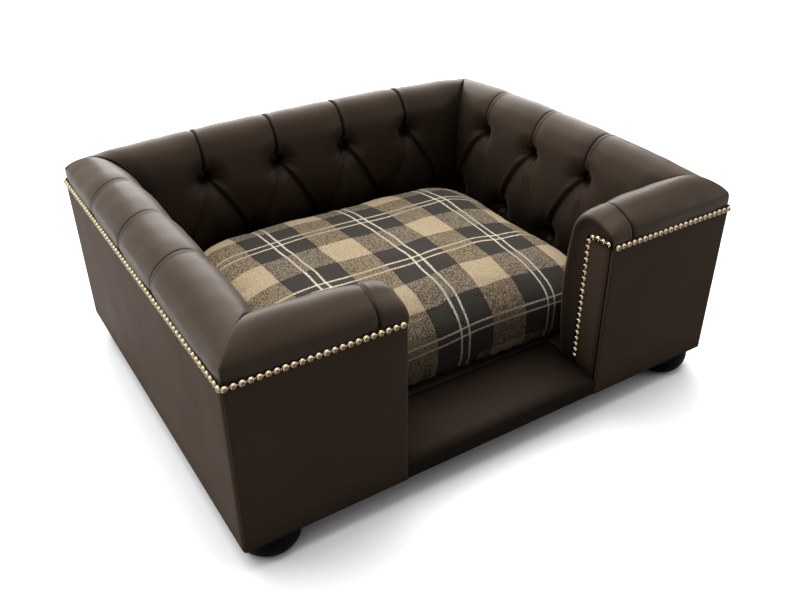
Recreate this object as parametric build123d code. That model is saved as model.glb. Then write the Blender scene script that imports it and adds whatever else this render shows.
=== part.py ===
from build123d import *
import math
import os

# Dog bed built like a small buttoned settee, with a lift-out cushion.
# Millimetres, +Z up. Origin on the floor under the middle of the bed, front towards -Y.

os.makedirs("parts", exist_ok=True)

# Overall sizes
body_width = 900.0
body_depth = 730.0
foot_height = 42.0
nail_line_height = 279.0
roll_rise = 57.0
return_width = 260.0

# Board, timber and sheet stock of the frame
base_board_thickness = 12.0
outer_panel_thickness = 5.5
inner_panel_thickness = 6.0
rail_depth = 43.0
rail_height = 28.0
jamb_post_width = 30.0
stud_width = 34.0
back_stud_share = 0.17
cover_thickness = 1.5
cover_turn_under = 24.0
dust_cover_thickness = 0.8

# Fits between pieces
seam_gap = 0.4
soft_clearance = 0.3
fastener_clearance = 0.15
overrun = 60.0

# Roll and inner face of the tufted pads, measured inwards from the outer face
roll_top_depth = 48.0
roll_start_rise = 6.0
outer_shoulder_depth = 12.0
outer_shoulder_drop = 19.0
inner_shoulder_depth = 80.0
inner_shoulder_drop = 17.0
roll_inner_depth = 99.0
roll_inner_drop = 56.0
pad_middle_depth = 107.0
pad_middle_height = 142.0
pad_base_depth = 90.0

roll_chords = 4
face_chords = 3

# Pleats over the roll
pleat_flank = 15.0
pleat_draw = 5.0
pleat_flank_share = 0.22
corner_draw_share = 0.7
corner_ease = 46.0
roll_end_ease = 34.0
roll_end_draw_share = 2.4

# Buttons and the diamond folds between them
back_button_pitch = 148.0
back_button_count = 4
side_button_count = 3
side_button_back_inset = 111.0
side_button_front_inset = 175.0
side_button_pitch = (body_depth - side_button_back_inset - side_button_front_inset) / side_button_count
side_button_shift = (side_button_front_inset - side_button_back_inset) / 2
return_button_inset = 38.0
return_lower_shift = 74.0
upper_button_height = 262.0
lower_button_height = 122.0
button_radius = 11.0
button_rise = 6.5
button_edge = 1.5
button_flats = 8
button_crown_shares = (0.0, 0.45, 0.8)
button_seat_depth = 67.0
dimple_floor_radius = 13.0
dimple_neck_radius = 21.0
dimple_neck_depth = 83.0
dimple_mouth_radius = 44.0
fold_floor_depth = 77.0
fold_neck_half_width = 8.0
fold_neck_depth = 91.0
fold_mouth_half_width = 33.0
fold_mouth_depth = 107.0

# Decorative nail strip
nail_pitch = 11.6
nail_head_radius = 5.0
nail_crown_radius = 2.6
nail_head_rise = 2.6
nail_head_sides = 5
strip_width = 7.0
strip_thickness = 1.0
strip_inset = 2.0
nails_per_pin = 5
pin_head_scale = 1.12

# Flat jamb at the end of each front return
jamb_rise = 7.0
jamb_width = 60.0
jamb_corner_radius = 22.0
jamb_strip_inset = 5.0

# Padded step and floor inside the bed
deck_height = 38.0
sill_depth = 126.0
sill_edge_radius = 12.0
deck_cloth_thickness = 1.0

# Bun feet and their fixings
foot_radius = 44.0
foot_top_radius = 40.0
foot_base_radius = 26.0
foot_waist_share = 0.3
foot_chords = 5
foot_flats = 20
foot_inset_x = 54.0
foot_inset_y = 46.0
bolt_radius = 4.0
bolt_sink = 28.0
insert_nut_radius = 6.0
fixing_flats = 8

# Cushion
cushion_end_margin = 124.0
cushion_front_margin = 117.0
cushion_back_margin = 111.0
cushion_side_height = 100.0
cushion_crown = 38.0
cushion_corner_radius = 75.0
cushion_side_draw = 5.0
cushion_chords = 3
cushion_cover_thickness = 2.0
zip_end_margin = 126.0
zip_width = 18.0
zip_height = 20.0
zip_recess = 0.5
zip_tape_thickness = 1.2
slider_length = 12.0
slider_width = 9.0
slider_thickness = 3.2
slider_nose = 2.0
pull_length = 10.0
pull_thickness = 1.4

# Heights above the floor
base_z = foot_height
frame_z = base_z + cover_thickness
board_top_z = frame_z + base_board_thickness
nail_z = base_z + nail_line_height
roll_top_z = nail_z + roll_rise
deck_z = base_z + deck_height

# Depths measured inwards from the outer face
rail_start = cover_thickness + outer_panel_thickness
rail_end = rail_start + rail_depth
wall_depth = rail_end + inner_panel_thickness

half_width = body_width / 2
half_depth = body_depth / 2
opening_half = half_width - return_width
cushion_width = body_width - 2 * cushion_end_margin
cushion_depth = body_depth - cushion_front_margin - cushion_back_margin
cushion_shift_y = (cushion_front_margin - cushion_back_margin) / 2
zip_length = cushion_width - 2 * zip_end_margin
jamb_board_half = opening_half + cover_thickness

# Each wall is drawn on its own frame: x along the wall, y inwards, z up
back_place = Location((0, half_depth, 0), (0, 0, 180))
left_place = Location((-half_width, 0, 0), (0, 0, -90))
front_left_place = Location((-half_width + return_width / 2, -half_depth, 0), (0, 0, 0))


def save(name, shape):
    # A node of several like pieces is a group of separate solids
    pieces = list(shape) if isinstance(shape, (list, tuple)) else [shape]
    solids = [solid for piece in pieces for solid in piece.solids()]
    body = solids[0] if len(solids) == 1 else Compound(children=solids)
    export_step(body, f"parts/{name}.step")
    print(name, len(solids), round(sum(solid.volume for solid in solids)))


def save_pair(left_name, right_name, shape):
    # The bed is the same left and right
    pieces = list(shape) if isinstance(shape, (list, tuple)) else [shape]
    save(left_name, pieces)
    save(right_name, [mirror(piece, about=Plane.YZ) for piece in pieces])


def block(x0, x1, y0, y1, z0, z1):
    # A board between two corners
    box = Box(x1 - x0, y1 - y0, z1 - z0)
    return Location(((x0 + x1) / 2, (y0 + y1) / 2, (z0 + z1) / 2)) * box


def arc_points(start, middle, end, chords):
    # Points along the arc through three points, both ends included
    arc = ThreePointArc(start, middle, end)
    points = [arc.position_at(index / chords) for index in range(chords + 1)]
    return [(point.X, point.Y) for point in points]


def flat_loft(sections):
    # Ruled loft whose flat sides are kept as true planes
    shape = loft(sections, ruled=True)
    sides = [Face(side.outer_wire()) if side.is_planar else side for side in shape.faces()]
    return Solid(Shell(sides))


def ring_loft(rings, flats):
    # Round form of narrow flats, stacked along +Z from pairs of radius and height
    faces = [Plane.XY.offset(height) * RegularPolygon(radius, flats) for radius, height in rings]
    return flat_loft(faces)


def flat_rod(radius, low_z, high_z):
    # Shaft or hole with narrow flats, between two heights
    return ring_loft([(radius, low_z), (radius, high_z)], fixing_flats)


# Tufted pads


def pad_section(station, draw):
    # Hooked outline of a pad: up from the nail line, over the roll and down to the base board
    centre = Vector(roll_top_depth, roll_top_z - roll_inner_drop)
    keep = 1 - draw * pleat_draw / roll_inner_drop
    spring = (0, nail_z + roll_start_rise)
    outer = (outer_shoulder_depth, roll_top_z - outer_shoulder_drop)
    top = (roll_top_depth, roll_top_z)
    inner = (inner_shoulder_depth, roll_top_z - inner_shoulder_drop)
    side = (roll_inner_depth, roll_top_z - roll_inner_drop)
    roll = arc_points(spring, outer, top, roll_chords)
    roll += arc_points(top, inner, side, roll_chords)[1:]
    drawn = [centre + (Vector(*point) - centre) * keep for point in roll]
    middle = (pad_middle_depth, deck_z + pad_middle_height)
    knee = (pad_base_depth, deck_z)
    foot = (pad_base_depth, board_top_z)
    heel = (wall_depth, board_top_z)
    shelf = (wall_depth, nail_z)
    points = [(0, nail_z)]
    points += [(point.X, point.Y) for point in drawn]
    points += arc_points(side, middle, knee, face_chords)[1:]
    points += [foot, heel, shelf]
    plane = Plane(origin=(station, 0, 0), x_dir=(0, 1, 0), z_dir=(1, 0, 0))
    return plane * make_face(Polyline(*points, close=True))


def pad_stations(length, pleats, open_end):
    # Where the pad is drawn in, and by how much, from one end of the wall to the other
    low = -length / 2
    high = length / 2
    stations = [(low, corner_draw_share), (low + wall_depth, corner_draw_share)]
    stations.append((low + wall_depth + corner_ease, 0))
    for pleat in sorted(pleats):
        stations.append((pleat - pleat_flank, pleat_flank_share))
        stations.append((pleat, 1))
        stations.append((pleat + pleat_flank, pleat_flank_share))
    for first, second in zip(sorted(pleats), sorted(pleats)[1:]):
        stations.append(((first + second) / 2, 0))
    if open_end:
        stations.append((high - cover_thickness, roll_end_draw_share))
        stations.append((high - roll_end_ease / 3, pleat_flank_share))
    else:
        stations.append((high - wall_depth - corner_ease, 0))
        stations.append((high - wall_depth, corner_draw_share))
        stations.append((high, corner_draw_share))
    return sorted(stations)


def mitre_cutter(length, end):
    # Everything past the 45 degree plane at one end of a wall
    corner = length / 2 - seam_gap / 2
    reach = roll_inner_depth + overrun
    outline = Polyline(
        (corner + overrun, -overrun),
        (corner + reach, -overrun),
        (corner + reach, reach),
        (corner - reach, reach),
        close=True,
    )
    wedge = extrude(make_face(outline), amount=roll_top_z + overrun)
    return wedge if end > 0 else mirror(wedge, about=Plane.YZ)


def fold_cutter(start, end):
    # One fold between two buttons, open to the inside of the bed
    along = Vector(end[0] - start[0], 0, end[1] - start[1])
    across = Vector(along.Z, 0, -along.X).normalized()
    plane = Plane(origin=(start[0], 0, start[1]), x_dir=across, z_dir=along.normalized())
    spread = (fold_mouth_half_width - fold_neck_half_width) / (fold_mouth_depth - fold_neck_depth)
    mouth_depth = fold_mouth_depth + pleat_flank
    mouth_half = fold_mouth_half_width + spread * pleat_flank
    side = 1 if plane.y_dir.Y > 0 else -1
    outline = Polyline(
        (-mouth_half, side * mouth_depth),
        (-fold_neck_half_width, side * fold_neck_depth),
        (0, side * fold_floor_depth),
        (fold_neck_half_width, side * fold_neck_depth),
        (mouth_half, side * mouth_depth),
        close=True,
    )
    return extrude(plane * make_face(outline), amount=along.length)


def dimple_cutter(station, height):
    # The funnel that a button pulls into the pad
    spread = (dimple_mouth_radius - dimple_neck_radius) / (fold_mouth_depth - dimple_neck_depth)
    mouth_radius = dimple_mouth_radius + spread * pleat_flank
    rings = [
        (dimple_floor_radius, button_seat_depth),
        (dimple_neck_radius, dimple_neck_depth),
        (mouth_radius, fold_mouth_depth + pleat_flank),
    ]
    return Location((station, 0, height), (-90, 0, 0)) * ring_loft(rings, button_flats)


def button_solid(station, height):
    # A covered button: a short edge and a low crown, seated at the bottom of its dimple
    crown = button_rise - button_edge
    rings = [(button_radius, button_seat_depth)]
    for share in button_crown_shares:
        radius = button_radius * math.cos(share * math.pi / 2)
        rings.append((radius, button_seat_depth + button_edge + crown * math.sin(share * math.pi / 2)))
    return Location((station, 0, height), (-90, 0, 0)) * ring_loft(rings, button_flats)


def fold_lines(upper, lower, pitch):
    # Each upper button is joined to the lower buttons half a pitch to either side
    upper_z = base_z + upper_button_height
    lower_z = base_z + lower_button_height
    lines = []
    for high in upper:
        for low in lower:
            if abs(abs(high - low) - pitch / 2) < pitch / 4:
                lines.append(((high, upper_z), (low, lower_z)))
    for high in upper:
        lines.append(((high, upper_z), (high, roll_top_z - inner_shoulder_drop)))
    for low in lower:
        lines.append(((low, lower_z), (low, board_top_z - overrun)))
    return lines


def tufted_pad(length, upper, lower, pitch, open_end):
    # Foam and cover of one wall, pleated over the roll and buttoned on the inside
    sections = [pad_section(place, draw) for place, draw in pad_stations(length, upper, open_end)]
    pad = flat_loft(sections)
    cutters = [mitre_cutter(length, -1)]
    if not open_end:
        cutters.append(mitre_cutter(length, 1))
    for start, end in fold_lines(upper, lower, pitch):
        cutters.append(fold_cutter(start, end))
    for station in upper:
        cutters.append(dimple_cutter(station, base_z + upper_button_height))
    for station in lower:
        cutters.append(dimple_cutter(station, base_z + lower_button_height))
    for cutter in cutters:
        pad = pad - cutter
    return pad


def wall_buttons(upper, lower):
    buttons = [button_solid(station, base_z + upper_button_height) for station in upper]
    buttons += [button_solid(station, base_z + lower_button_height) for station in lower]
    return buttons


def spaced(count, pitch, shift=0):
    # Places spread evenly about a middle
    return [shift + pitch * (index - (count - 1) / 2) for index in range(count)]


back_upper = spaced(back_button_count, back_button_pitch)
back_lower = spaced(back_button_count + 1, back_button_pitch)
side_upper = spaced(side_button_count, side_button_pitch, -side_button_shift)
side_lower = spaced(side_button_count + 1, side_button_pitch, -side_button_shift)
return_upper = [return_width / 2 - return_button_inset]
return_lower = [return_upper[0] - return_lower_shift]

back_pad = tufted_pad(body_width, back_upper, back_lower, back_button_pitch, False)
side_pad = tufted_pad(body_depth, side_upper, side_lower, side_button_pitch, False)
return_pad = tufted_pad(return_width, return_upper, return_lower, 2 * return_lower_shift, True)
save("back_pad", back_place * back_pad)
save_pair("left_pad", "right_pad", left_place * side_pad)
save_pair("front_left_pad", "front_right_pad", front_left_place * return_pad)
save("back_buttons", [back_place * piece for piece in wall_buttons(back_upper, back_lower)])
side_buttons = [left_place * piece for piece in wall_buttons(side_upper, side_lower)]
save_pair("left_buttons", "right_buttons", side_buttons)
return_buttons = [front_left_place * piece for piece in wall_buttons(return_upper, return_lower)]
save_pair("front_left_buttons", "front_right_buttons", return_buttons)

# Frame: base board, corner posts, top rails, studs and thin panels on both faces

foot_places = [
    (side * (half_width - foot_inset_x), end * (half_depth - foot_inset_y))
    for end in (-1, 1)
    for side in (-1, 1)
]

base_board = block(
    -half_width + rail_start,
    half_width - rail_start,
    -half_depth + rail_start,
    half_depth - rail_start,
    frame_z,
    board_top_z,
)
for foot_x, foot_y in foot_places:
    nut_hole = flat_rod(insert_nut_radius + fastener_clearance, 0, board_top_z)
    base_board -= Location((foot_x, foot_y, 0)) * nut_hole
save("base_board", base_board)

rail_z = nail_z - rail_height
save(
    "back_outer_panel",
    block(
        -half_width + cover_thickness,
        half_width - cover_thickness,
        half_depth - rail_start,
        half_depth - cover_thickness,
        frame_z,
        nail_z,
    ),
)
save_pair(
    "left_outer_panel",
    "right_outer_panel",
    block(
        -half_width + cover_thickness,
        -half_width + rail_start,
        -half_depth + rail_start,
        half_depth - rail_start,
        frame_z,
        nail_z,
    ),
)
save_pair(
    "front_left_outer_panel",
    "front_right_outer_panel",
    block(
        -half_width + cover_thickness,
        -jamb_board_half,
        -half_depth + cover_thickness,
        -half_depth + rail_start,
        frame_z,
        nail_z,
    ),
)
save(
    "back_inner_panel",
    block(
        -half_width + wall_depth,
        half_width - wall_depth,
        half_depth - wall_depth,
        half_depth - rail_end,
        board_top_z,
        nail_z,
    ),
)
save_pair(
    "left_inner_panel",
    "right_inner_panel",
    block(
        -half_width + rail_end,
        -half_width + wall_depth,
        -half_depth + rail_end,
        half_depth - rail_end,
        board_top_z,
        nail_z,
    ),
)
save_pair(
    "front_left_inner_panel",
    "front_right_inner_panel",
    block(
        -half_width + wall_depth,
        -jamb_board_half,
        -half_depth + rail_end,
        -half_depth + wall_depth,
        board_top_z,
        nail_z,
    ),
)
save(
    "back_top_rail",
    block(
        -half_width + rail_start,
        half_width - rail_start,
        half_depth - rail_end,
        half_depth - rail_start,
        rail_z,
        nail_z,
    ),
)
save_pair(
    "left_top_rail",
    "right_top_rail",
    block(
        -half_width + rail_start,
        -half_width + rail_end,
        -half_depth + rail_end,
        half_depth - rail_end,
        rail_z,
        nail_z,
    ),
)
save_pair(
    "front_left_top_rail",
    "front_right_top_rail",
    block(
        -half_width + rail_start,
        -jamb_board_half,
        -half_depth + rail_start,
        -half_depth + rail_end,
        rail_z,
        nail_z,
    ),
)


def corner_post(end):
    # A square post in a corner, between the base board and the top rails
    post_y = end * (half_depth - rail_start)
    inner_y = end * (half_depth - rail_end)
    return block(
        -half_width + rail_start,
        -half_width + rail_end,
        min(post_y, inner_y),
        max(post_y, inner_y),
        board_top_z,
        rail_z,
    )


save_pair("front_left_post", "front_right_post", corner_post(-1))
save_pair("back_left_post", "back_right_post", corner_post(1))
jamb_post = block(
    -jamb_board_half - jamb_post_width,
    -jamb_board_half,
    -half_depth + rail_start,
    -half_depth + rail_end,
    board_top_z,
    rail_z,
)
save_pair("left_jamb_post", "right_jamb_post", jamb_post)

back_stud_x = back_stud_share * body_width
stud = block(
    -stud_width / 2,
    stud_width / 2,
    rail_start,
    rail_end,
    board_top_z,
    rail_z,
)
studs = [back_place * Location((side * back_stud_x, 0, 0)) * stud for side in (-1, 1)]
studs += [left_place * stud, mirror(left_place * stud, about=Plane.YZ)]
save("wall_studs", studs)

# Outer covers: leather sheets from the nail line down and turned under the bottom edge


def outer_cover(length, low_trim, high_trim):
    # Sheet over one wall with its lower edge turned in under the frame
    low = -length / 2
    high = length / 2
    sheet = block(low, high, 0, cover_thickness, base_z, nail_z)
    flap = block(low + low_trim, high - high_trim, cover_thickness, cover_turn_under, base_z, frame_z)
    return sheet + flap


def jamb_outline(width, height, radius):
    # Flat end of a front return, with its inner top corner rounded
    bend = radius * (1 - math.sqrt(0.5))
    return [
        Line((0, base_z), (0, nail_z)),
        Line((0, nail_z), (jamb_strip_inset, height)),
        Line((jamb_strip_inset, height), (width - radius, height)),
        ThreePointArc(
            (width - radius, height),
            (width - bend, height - bend),
            (width, height - radius),
        ),
        Line((width, height - radius), (width, board_top_z)),
        Line((width, board_top_z), (rail_start, board_top_z)),
        Line((rail_start, board_top_z), (rail_start, base_z)),
        Line((rail_start, base_z), (0, base_z)),
    ]


jamb_plane = Plane(
    origin=(return_width / 2 - cover_thickness, 0, 0),
    x_dir=(0, 1, 0),
    z_dir=(1, 0, 0),
)
jamb_face = make_face(jamb_outline(jamb_width, nail_z + jamb_rise, jamb_corner_radius))
jamb_sheet = extrude(jamb_plane * jamb_face, amount=cover_thickness)
side_cover_length = body_depth - 2 * cover_thickness
side_flap_trim = cover_turn_under - cover_thickness
save("back_outer_cover", back_place * outer_cover(body_width, cover_thickness, cover_thickness))
save_pair(
    "left_outer_cover",
    "right_outer_cover",
    left_place * outer_cover(side_cover_length, side_flap_trim, side_flap_trim),
)
save_pair(
    "front_left_outer_cover",
    "front_right_outer_cover",
    front_left_place * (outer_cover(return_width, cover_thickness, 0) + jamb_sheet),
)
dust_cover = block(
    -half_width + cover_turn_under,
    half_width - cover_turn_under,
    -half_depth + cover_turn_under,
    half_depth - cover_turn_under,
    frame_z - dust_cover_thickness,
    frame_z,
)
for foot_x, foot_y in foot_places:
    bolt_hole = flat_rod(bolt_radius + fastener_clearance, 0, frame_z)
    dust_cover -= Location((foot_x, foot_y, 0)) * bolt_hole
save("dust_cover", dust_cover)

# Padded step at the front and the floor under the cushion

sill_gap = soft_clearance
sill_plane = Plane(origin=(-opening_half + sill_gap, -half_depth, 0), x_dir=(0, 1, 0), z_dir=(1, 0, 0))
sill_bend = sill_edge_radius * (1 - math.sqrt(0.5))
sill_outline = [
    Line((0, base_z), (0, deck_z - sill_edge_radius)),
    ThreePointArc(
        (0, deck_z - sill_edge_radius),
        (sill_bend, deck_z - sill_bend),
        (sill_edge_radius, deck_z),
    ),
    Line((sill_edge_radius, deck_z), (sill_depth, deck_z)),
    Line((sill_depth, deck_z), (sill_depth, board_top_z)),
    Line((sill_depth, board_top_z), (rail_start, board_top_z)),
    Line((rail_start, board_top_z), (rail_start, frame_z)),
    Line((rail_start, frame_z), (cover_turn_under, frame_z)),
    Line((cover_turn_under, frame_z), (cover_turn_under, base_z)),
    Line((cover_turn_under, base_z), (0, base_z)),
]
sill_width = 2 * (opening_half - sill_gap)
save("sill_pad", extrude(sill_plane * make_face(sill_outline), amount=sill_width))


def deck_layer(low_z, high_z):
    # Floor layer between the wall pads, notched round the padded step
    side_x = half_width - pad_base_depth - soft_clearance
    back_y = half_depth - pad_base_depth - soft_clearance
    layer = block(-side_x, side_x, -back_y, back_y, low_z, high_z)
    notch_y = -half_depth + sill_depth
    notch = block(-opening_half, opening_half, -half_depth, notch_y, low_z, high_z)
    return layer - notch


save("deck_foam", deck_layer(board_top_z, deck_z - deck_cloth_thickness))
save("deck_cloth", deck_layer(deck_z - deck_cloth_thickness, deck_z))

# Nail strips: a ribbon of linked domes, pinned by a real nail at every fifth dome


def nail_head(scale):
    # One low dome of flats, standing on its strip along +Z
    rings = [(nail_head_radius * scale, 0), (nail_crown_radius * scale, nail_head_rise * scale)]
    return ring_loft(rings, nail_head_sides)


def dressed_strip(ribbon, planes):
    # Ribbon with its domes; the pins stand where every fifth dome would be
    domes = []
    pins = []
    for index, plane in enumerate(planes):
        if index % nails_per_pin == nails_per_pin // 2:
            pins.append(plane * nail_head(pin_head_scale))
        else:
            domes.append(plane * nail_head(1))
    return ribbon + domes, pins


def straight_strip(length):
    # Strip along one outer face, on the wall's own frame
    low_z = nail_z - strip_width / 2
    ribbon = block(
        -length / 2 + strip_inset,
        length / 2 - strip_inset,
        -strip_thickness,
        0,
        low_z,
        low_z + strip_width,
    )
    count = int((length - 2 * strip_inset) / nail_pitch)
    planes = [
        Plane(origin=(place, -strip_thickness, nail_z), x_dir=(1, 0, 0), z_dir=(0, -1, 0))
        for place in spaced(count, nail_pitch)
    ]
    return dressed_strip(ribbon, planes)


def jamb_strip():
    # Strip across the top of the jamb and down its inner edge to the step
    plane = Plane(origin=(return_width / 2, 0, 0), x_dir=(0, 1, 0), z_dir=(1, 0, 0))
    top = nail_z + jamb_rise - jamb_strip_inset
    inner = jamb_width - jamb_strip_inset
    radius = jamb_corner_radius - jamb_strip_inset
    bend = radius * (1 - math.sqrt(0.5))
    foot = deck_z + nail_head_radius
    path = Wire([
        Line((strip_inset, top), (inner - radius, top)),
        ThreePointArc((inner - radius, top), (inner - bend, top - bend), (inner, top - radius)),
        Line((inner, top - radius), (inner, foot)),
    ])
    ribbon = extrude(plane * trace(path, line_width=strip_width), amount=strip_thickness)
    count = int(path.length / nail_pitch)
    planes = []
    for index in range(count):
        point = path.position_at((index + 0.5) * nail_pitch / path.length)
        head = plane.offset(strip_thickness)
        origin = head.from_local_coords((point.X, point.Y, 0))
        planes.append(Plane(origin=origin, x_dir=(0, 1, 0), z_dir=(1, 0, 0)))
    return dressed_strip(ribbon, planes)


back_strip, back_pins = straight_strip(body_width)
side_strip, side_pins = straight_strip(body_depth)
return_strip, return_pins = straight_strip(return_width)
end_strip, end_pins = jamb_strip()
save("back_nail_strip", back_place * back_strip)
save_pair("left_nail_strip", "right_nail_strip", left_place * side_strip)
save_pair(
    "front_left_nail_strip",
    "front_right_nail_strip",
    front_left_place * return_strip,
)
save_pair("left_jamb_nail_strip", "right_jamb_nail_strip", front_left_place * end_strip)
half_pins = [left_place * pin for pin in side_pins]
half_pins += [front_left_place * pin for pin in return_pins + end_pins]
strip_pins = [back_place * pin for pin in back_pins] + half_pins
strip_pins += [mirror(pin, about=Plane.YZ) for pin in half_pins]
save("strip_nails", strip_pins)

# Feet, hanger bolts and insert nuts


def bun_foot():
    # Turned bun: flat top and base, widest a third of the way down
    waist_z = foot_height * (1 - foot_waist_share)
    belly_half = foot_radius - foot_base_radius
    belly = (
        foot_base_radius + belly_half * math.sqrt(0.5),
        waist_z * (1 - math.sqrt(0.5)),
    )
    shoulder = (
        foot_radius - (foot_radius - foot_top_radius) / 4,
        (waist_z + foot_height) / 2,
    )
    rings = arc_points((foot_base_radius, 0), belly, (foot_radius, waist_z), foot_chords)
    rings += arc_points((foot_radius, waist_z), shoulder, (foot_top_radius, foot_height), 2)[1:]
    bolt_hole = flat_rod(bolt_radius + fastener_clearance, foot_height - bolt_sink, foot_height)
    return ring_loft(rings, foot_flats) - bolt_hole


foot = bun_foot()
foot_names = ["front_left_foot", "front_right_foot", "back_left_foot", "back_right_foot"]
for name, (foot_x, foot_y) in zip(foot_names, foot_places):
    save(name, Location((foot_x, foot_y, 0)) * foot)

bolt = flat_rod(bolt_radius, foot_height - bolt_sink, board_top_z)
nut_bore = flat_rod(bolt_radius + fastener_clearance, 0, board_top_z)
insert_nut = flat_rod(insert_nut_radius, frame_z, board_top_z) - nut_bore
save("foot_bolts", [Location((foot_x, foot_y, 0)) * bolt for foot_x, foot_y in foot_places])
save("foot_insert_nuts", [Location((foot_x, foot_y, 0)) * insert_nut for foot_x, foot_y in foot_places])

# Cushion: crowned cover with drawn-in sides, its filling, a zip along the back and the slider

# Level as a share of the side height or crown, and how far the outline is drawn in
# The sides stand upright over the height of the zip
side_level_shares = ((0.0, 0.18), (0.08, 0.09), (0.3, 0.09), (0.55, 0.0), (0.84, 0.03), (1.0, 0.14))
crown_level_shares = ((0.26, 0.36), (0.54, 0.74), (0.8, 1.35), (1.0, 2.4))


def cushion_section(shrink, level, inset):
    # Rounded rectangle whose front and ends pull in between the corners; the zipped back is straight
    half_x = cushion_width / 2 - shrink - inset
    half_y = cushion_depth / 2 - shrink - inset
    radius = cushion_corner_radius * 2 * half_y / cushion_depth
    bend = radius * (1 - math.sqrt(0.5))
    pull_x = cushion_side_draw * (half_y - radius) / (cushion_depth / 2 - cushion_corner_radius)
    pull_y = cushion_side_draw * (half_x - radius) / (cushion_width / 2 - cushion_corner_radius)
    corners = []
    for sign_x, sign_y in ((1, -1), (1, 1), (-1, 1), (-1, -1)):
        before = (sign_x * (half_x - radius), sign_y * half_y)
        after = (sign_x * half_x, sign_y * (half_y - radius))
        middle = (sign_x * (half_x - bend), sign_y * (half_y - bend))
        if sign_x * sign_y > 0:
            before, after = after, before
        corners.append((before, middle, after))
    pulls = [(half_x - pull_x, 0), None, (-half_x + pull_x, 0), (0, -half_y + pull_y)]
    points = []
    for index, (before, middle, after) in enumerate(corners):
        following = corners[(index + 1) % len(corners)][0]
        points += arc_points(before, middle, after, cushion_chords)[:-1]
        if pulls[index]:
            points += arc_points(after, pulls[index], following, cushion_chords)[:-1]
        else:
            points.append(after)
    outline = Polyline(*points, close=True)
    return Plane.XY.offset(level) * Location((0, cushion_shift_y)) * make_face(outline)


def cushion_form(shrink):
    # Side levels, then the crown; a shrunk form fits inside by that much all round
    low = deck_z + shrink
    side = cushion_side_height - 2 * shrink
    sections = []
    for height_share, inset_share in side_level_shares:
        inset = inset_share * cushion_corner_radius
        sections.append(cushion_section(shrink, low + height_share * side, inset))
    for height_share, inset_share in crown_level_shares:
        inset = inset_share * cushion_corner_radius
        sections.append(cushion_section(shrink, low + side + height_share * cushion_crown, inset))
    return flat_loft(sections)


cushion_back = cushion_shift_y + cushion_depth / 2
zip_low = deck_z + zip_height - zip_width / 2
zip_slot = block(
    -zip_length / 2,
    zip_length / 2,
    cushion_back - cushion_corner_radius,
    cushion_back + overrun,
    zip_low,
    zip_low + zip_width,
)
cushion_skin = cushion_form(0) - cushion_form(cushion_cover_thickness)
save("cushion_cover", cushion_skin - zip_slot)
save("cushion_fill", cushion_form(cushion_cover_thickness + soft_clearance))
zip_band = cushion_form(zip_recess) - cushion_form(zip_recess + zip_tape_thickness)
cushion_zip = zip_band & zip_slot
save("cushion_zip", cushion_zip)


def zip_slider():
    # Slider body with its pull tab hanging below it, on the outside of the zip
    body = Box(slider_length, slider_thickness, slider_width)
    body = chamfer(body.edges().filter_by(Axis.Y), slider_nose)
    tab_place = (0, (slider_thickness - pull_thickness) / 2, -slider_width / 2)
    tab = Location(tab_place) * Box(slider_width / 2, pull_thickness, 2 * pull_length)
    return body + tab


slider_x = zip_length / 2 - slider_length
zip_box = cushion_zip.bounding_box()
slider_y = zip_box.max.Y + soft_clearance + slider_thickness / 2
save("zip_slider", Location((slider_x, slider_y, deck_z + zip_height)) * zip_slider())
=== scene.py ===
import bmesh
import bpy
import math
import numpy as np
from mathutils import Matrix, Vector


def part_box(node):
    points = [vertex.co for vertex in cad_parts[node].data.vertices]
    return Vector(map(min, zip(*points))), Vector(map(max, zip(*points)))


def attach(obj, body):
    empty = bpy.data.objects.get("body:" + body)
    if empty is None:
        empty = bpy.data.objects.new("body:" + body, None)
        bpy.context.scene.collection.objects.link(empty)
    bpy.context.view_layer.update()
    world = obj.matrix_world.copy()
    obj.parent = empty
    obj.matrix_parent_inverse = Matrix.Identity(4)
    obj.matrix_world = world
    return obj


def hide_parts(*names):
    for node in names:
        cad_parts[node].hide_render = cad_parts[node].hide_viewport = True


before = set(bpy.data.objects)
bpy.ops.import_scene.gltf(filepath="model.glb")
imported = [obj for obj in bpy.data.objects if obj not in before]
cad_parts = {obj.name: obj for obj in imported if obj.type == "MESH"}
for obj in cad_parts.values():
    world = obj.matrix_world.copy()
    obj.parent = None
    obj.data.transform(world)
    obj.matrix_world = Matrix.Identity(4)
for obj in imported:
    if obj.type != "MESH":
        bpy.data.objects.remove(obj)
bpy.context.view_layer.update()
mm = 0.001

# places read from the frame: the bed's outer faces and its levels above the floor
coverLow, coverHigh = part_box("back_outer_cover")
halfWidth, halfDepth, nailZ = coverHigh
baseZ = coverLow.z
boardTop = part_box("base_board")[1].z
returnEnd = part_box("front_left_outer_cover")[1]
openingHalf, jambTop = -returnEnd.x, returnEnd.z
returnWidth = halfWidth - openingHalf
sillLow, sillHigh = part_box("sill_pad")
upward = np.array((0, 0, 1.0))


# small helpers


def softNoise(x, y, size, seed, waves=9):
    # smooth unevenness about -1 to 1, the same every run
    rng = np.random.default_rng(seed)
    total = np.zeros_like(x)
    for _ in range(waves):
        angle = rng.uniform(0, 2 * math.pi)
        length = size * rng.uniform(0.6, 1.7)
        turn = 2 * math.pi / length
        total += np.sin((x * math.cos(angle) + y * math.sin(angle)) * turn + rng.uniform(0, 2 * math.pi))
    return total / math.sqrt(waves)


def smoothStep(low, high, value):
    t = np.clip((value - low) / (high - low), 0, 1)
    return t * t * (3 - 2 * t)


def bell(value, width, power=2):
    # one at nought, and falling off to nothing either side
    return np.exp(-(value / width) ** power)


def runAlong(line):
    # how far along a line each of its points lies
    return np.concatenate([[0], np.cumsum(np.linalg.norm(np.diff(line, axis=0), axis=1))])


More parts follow.
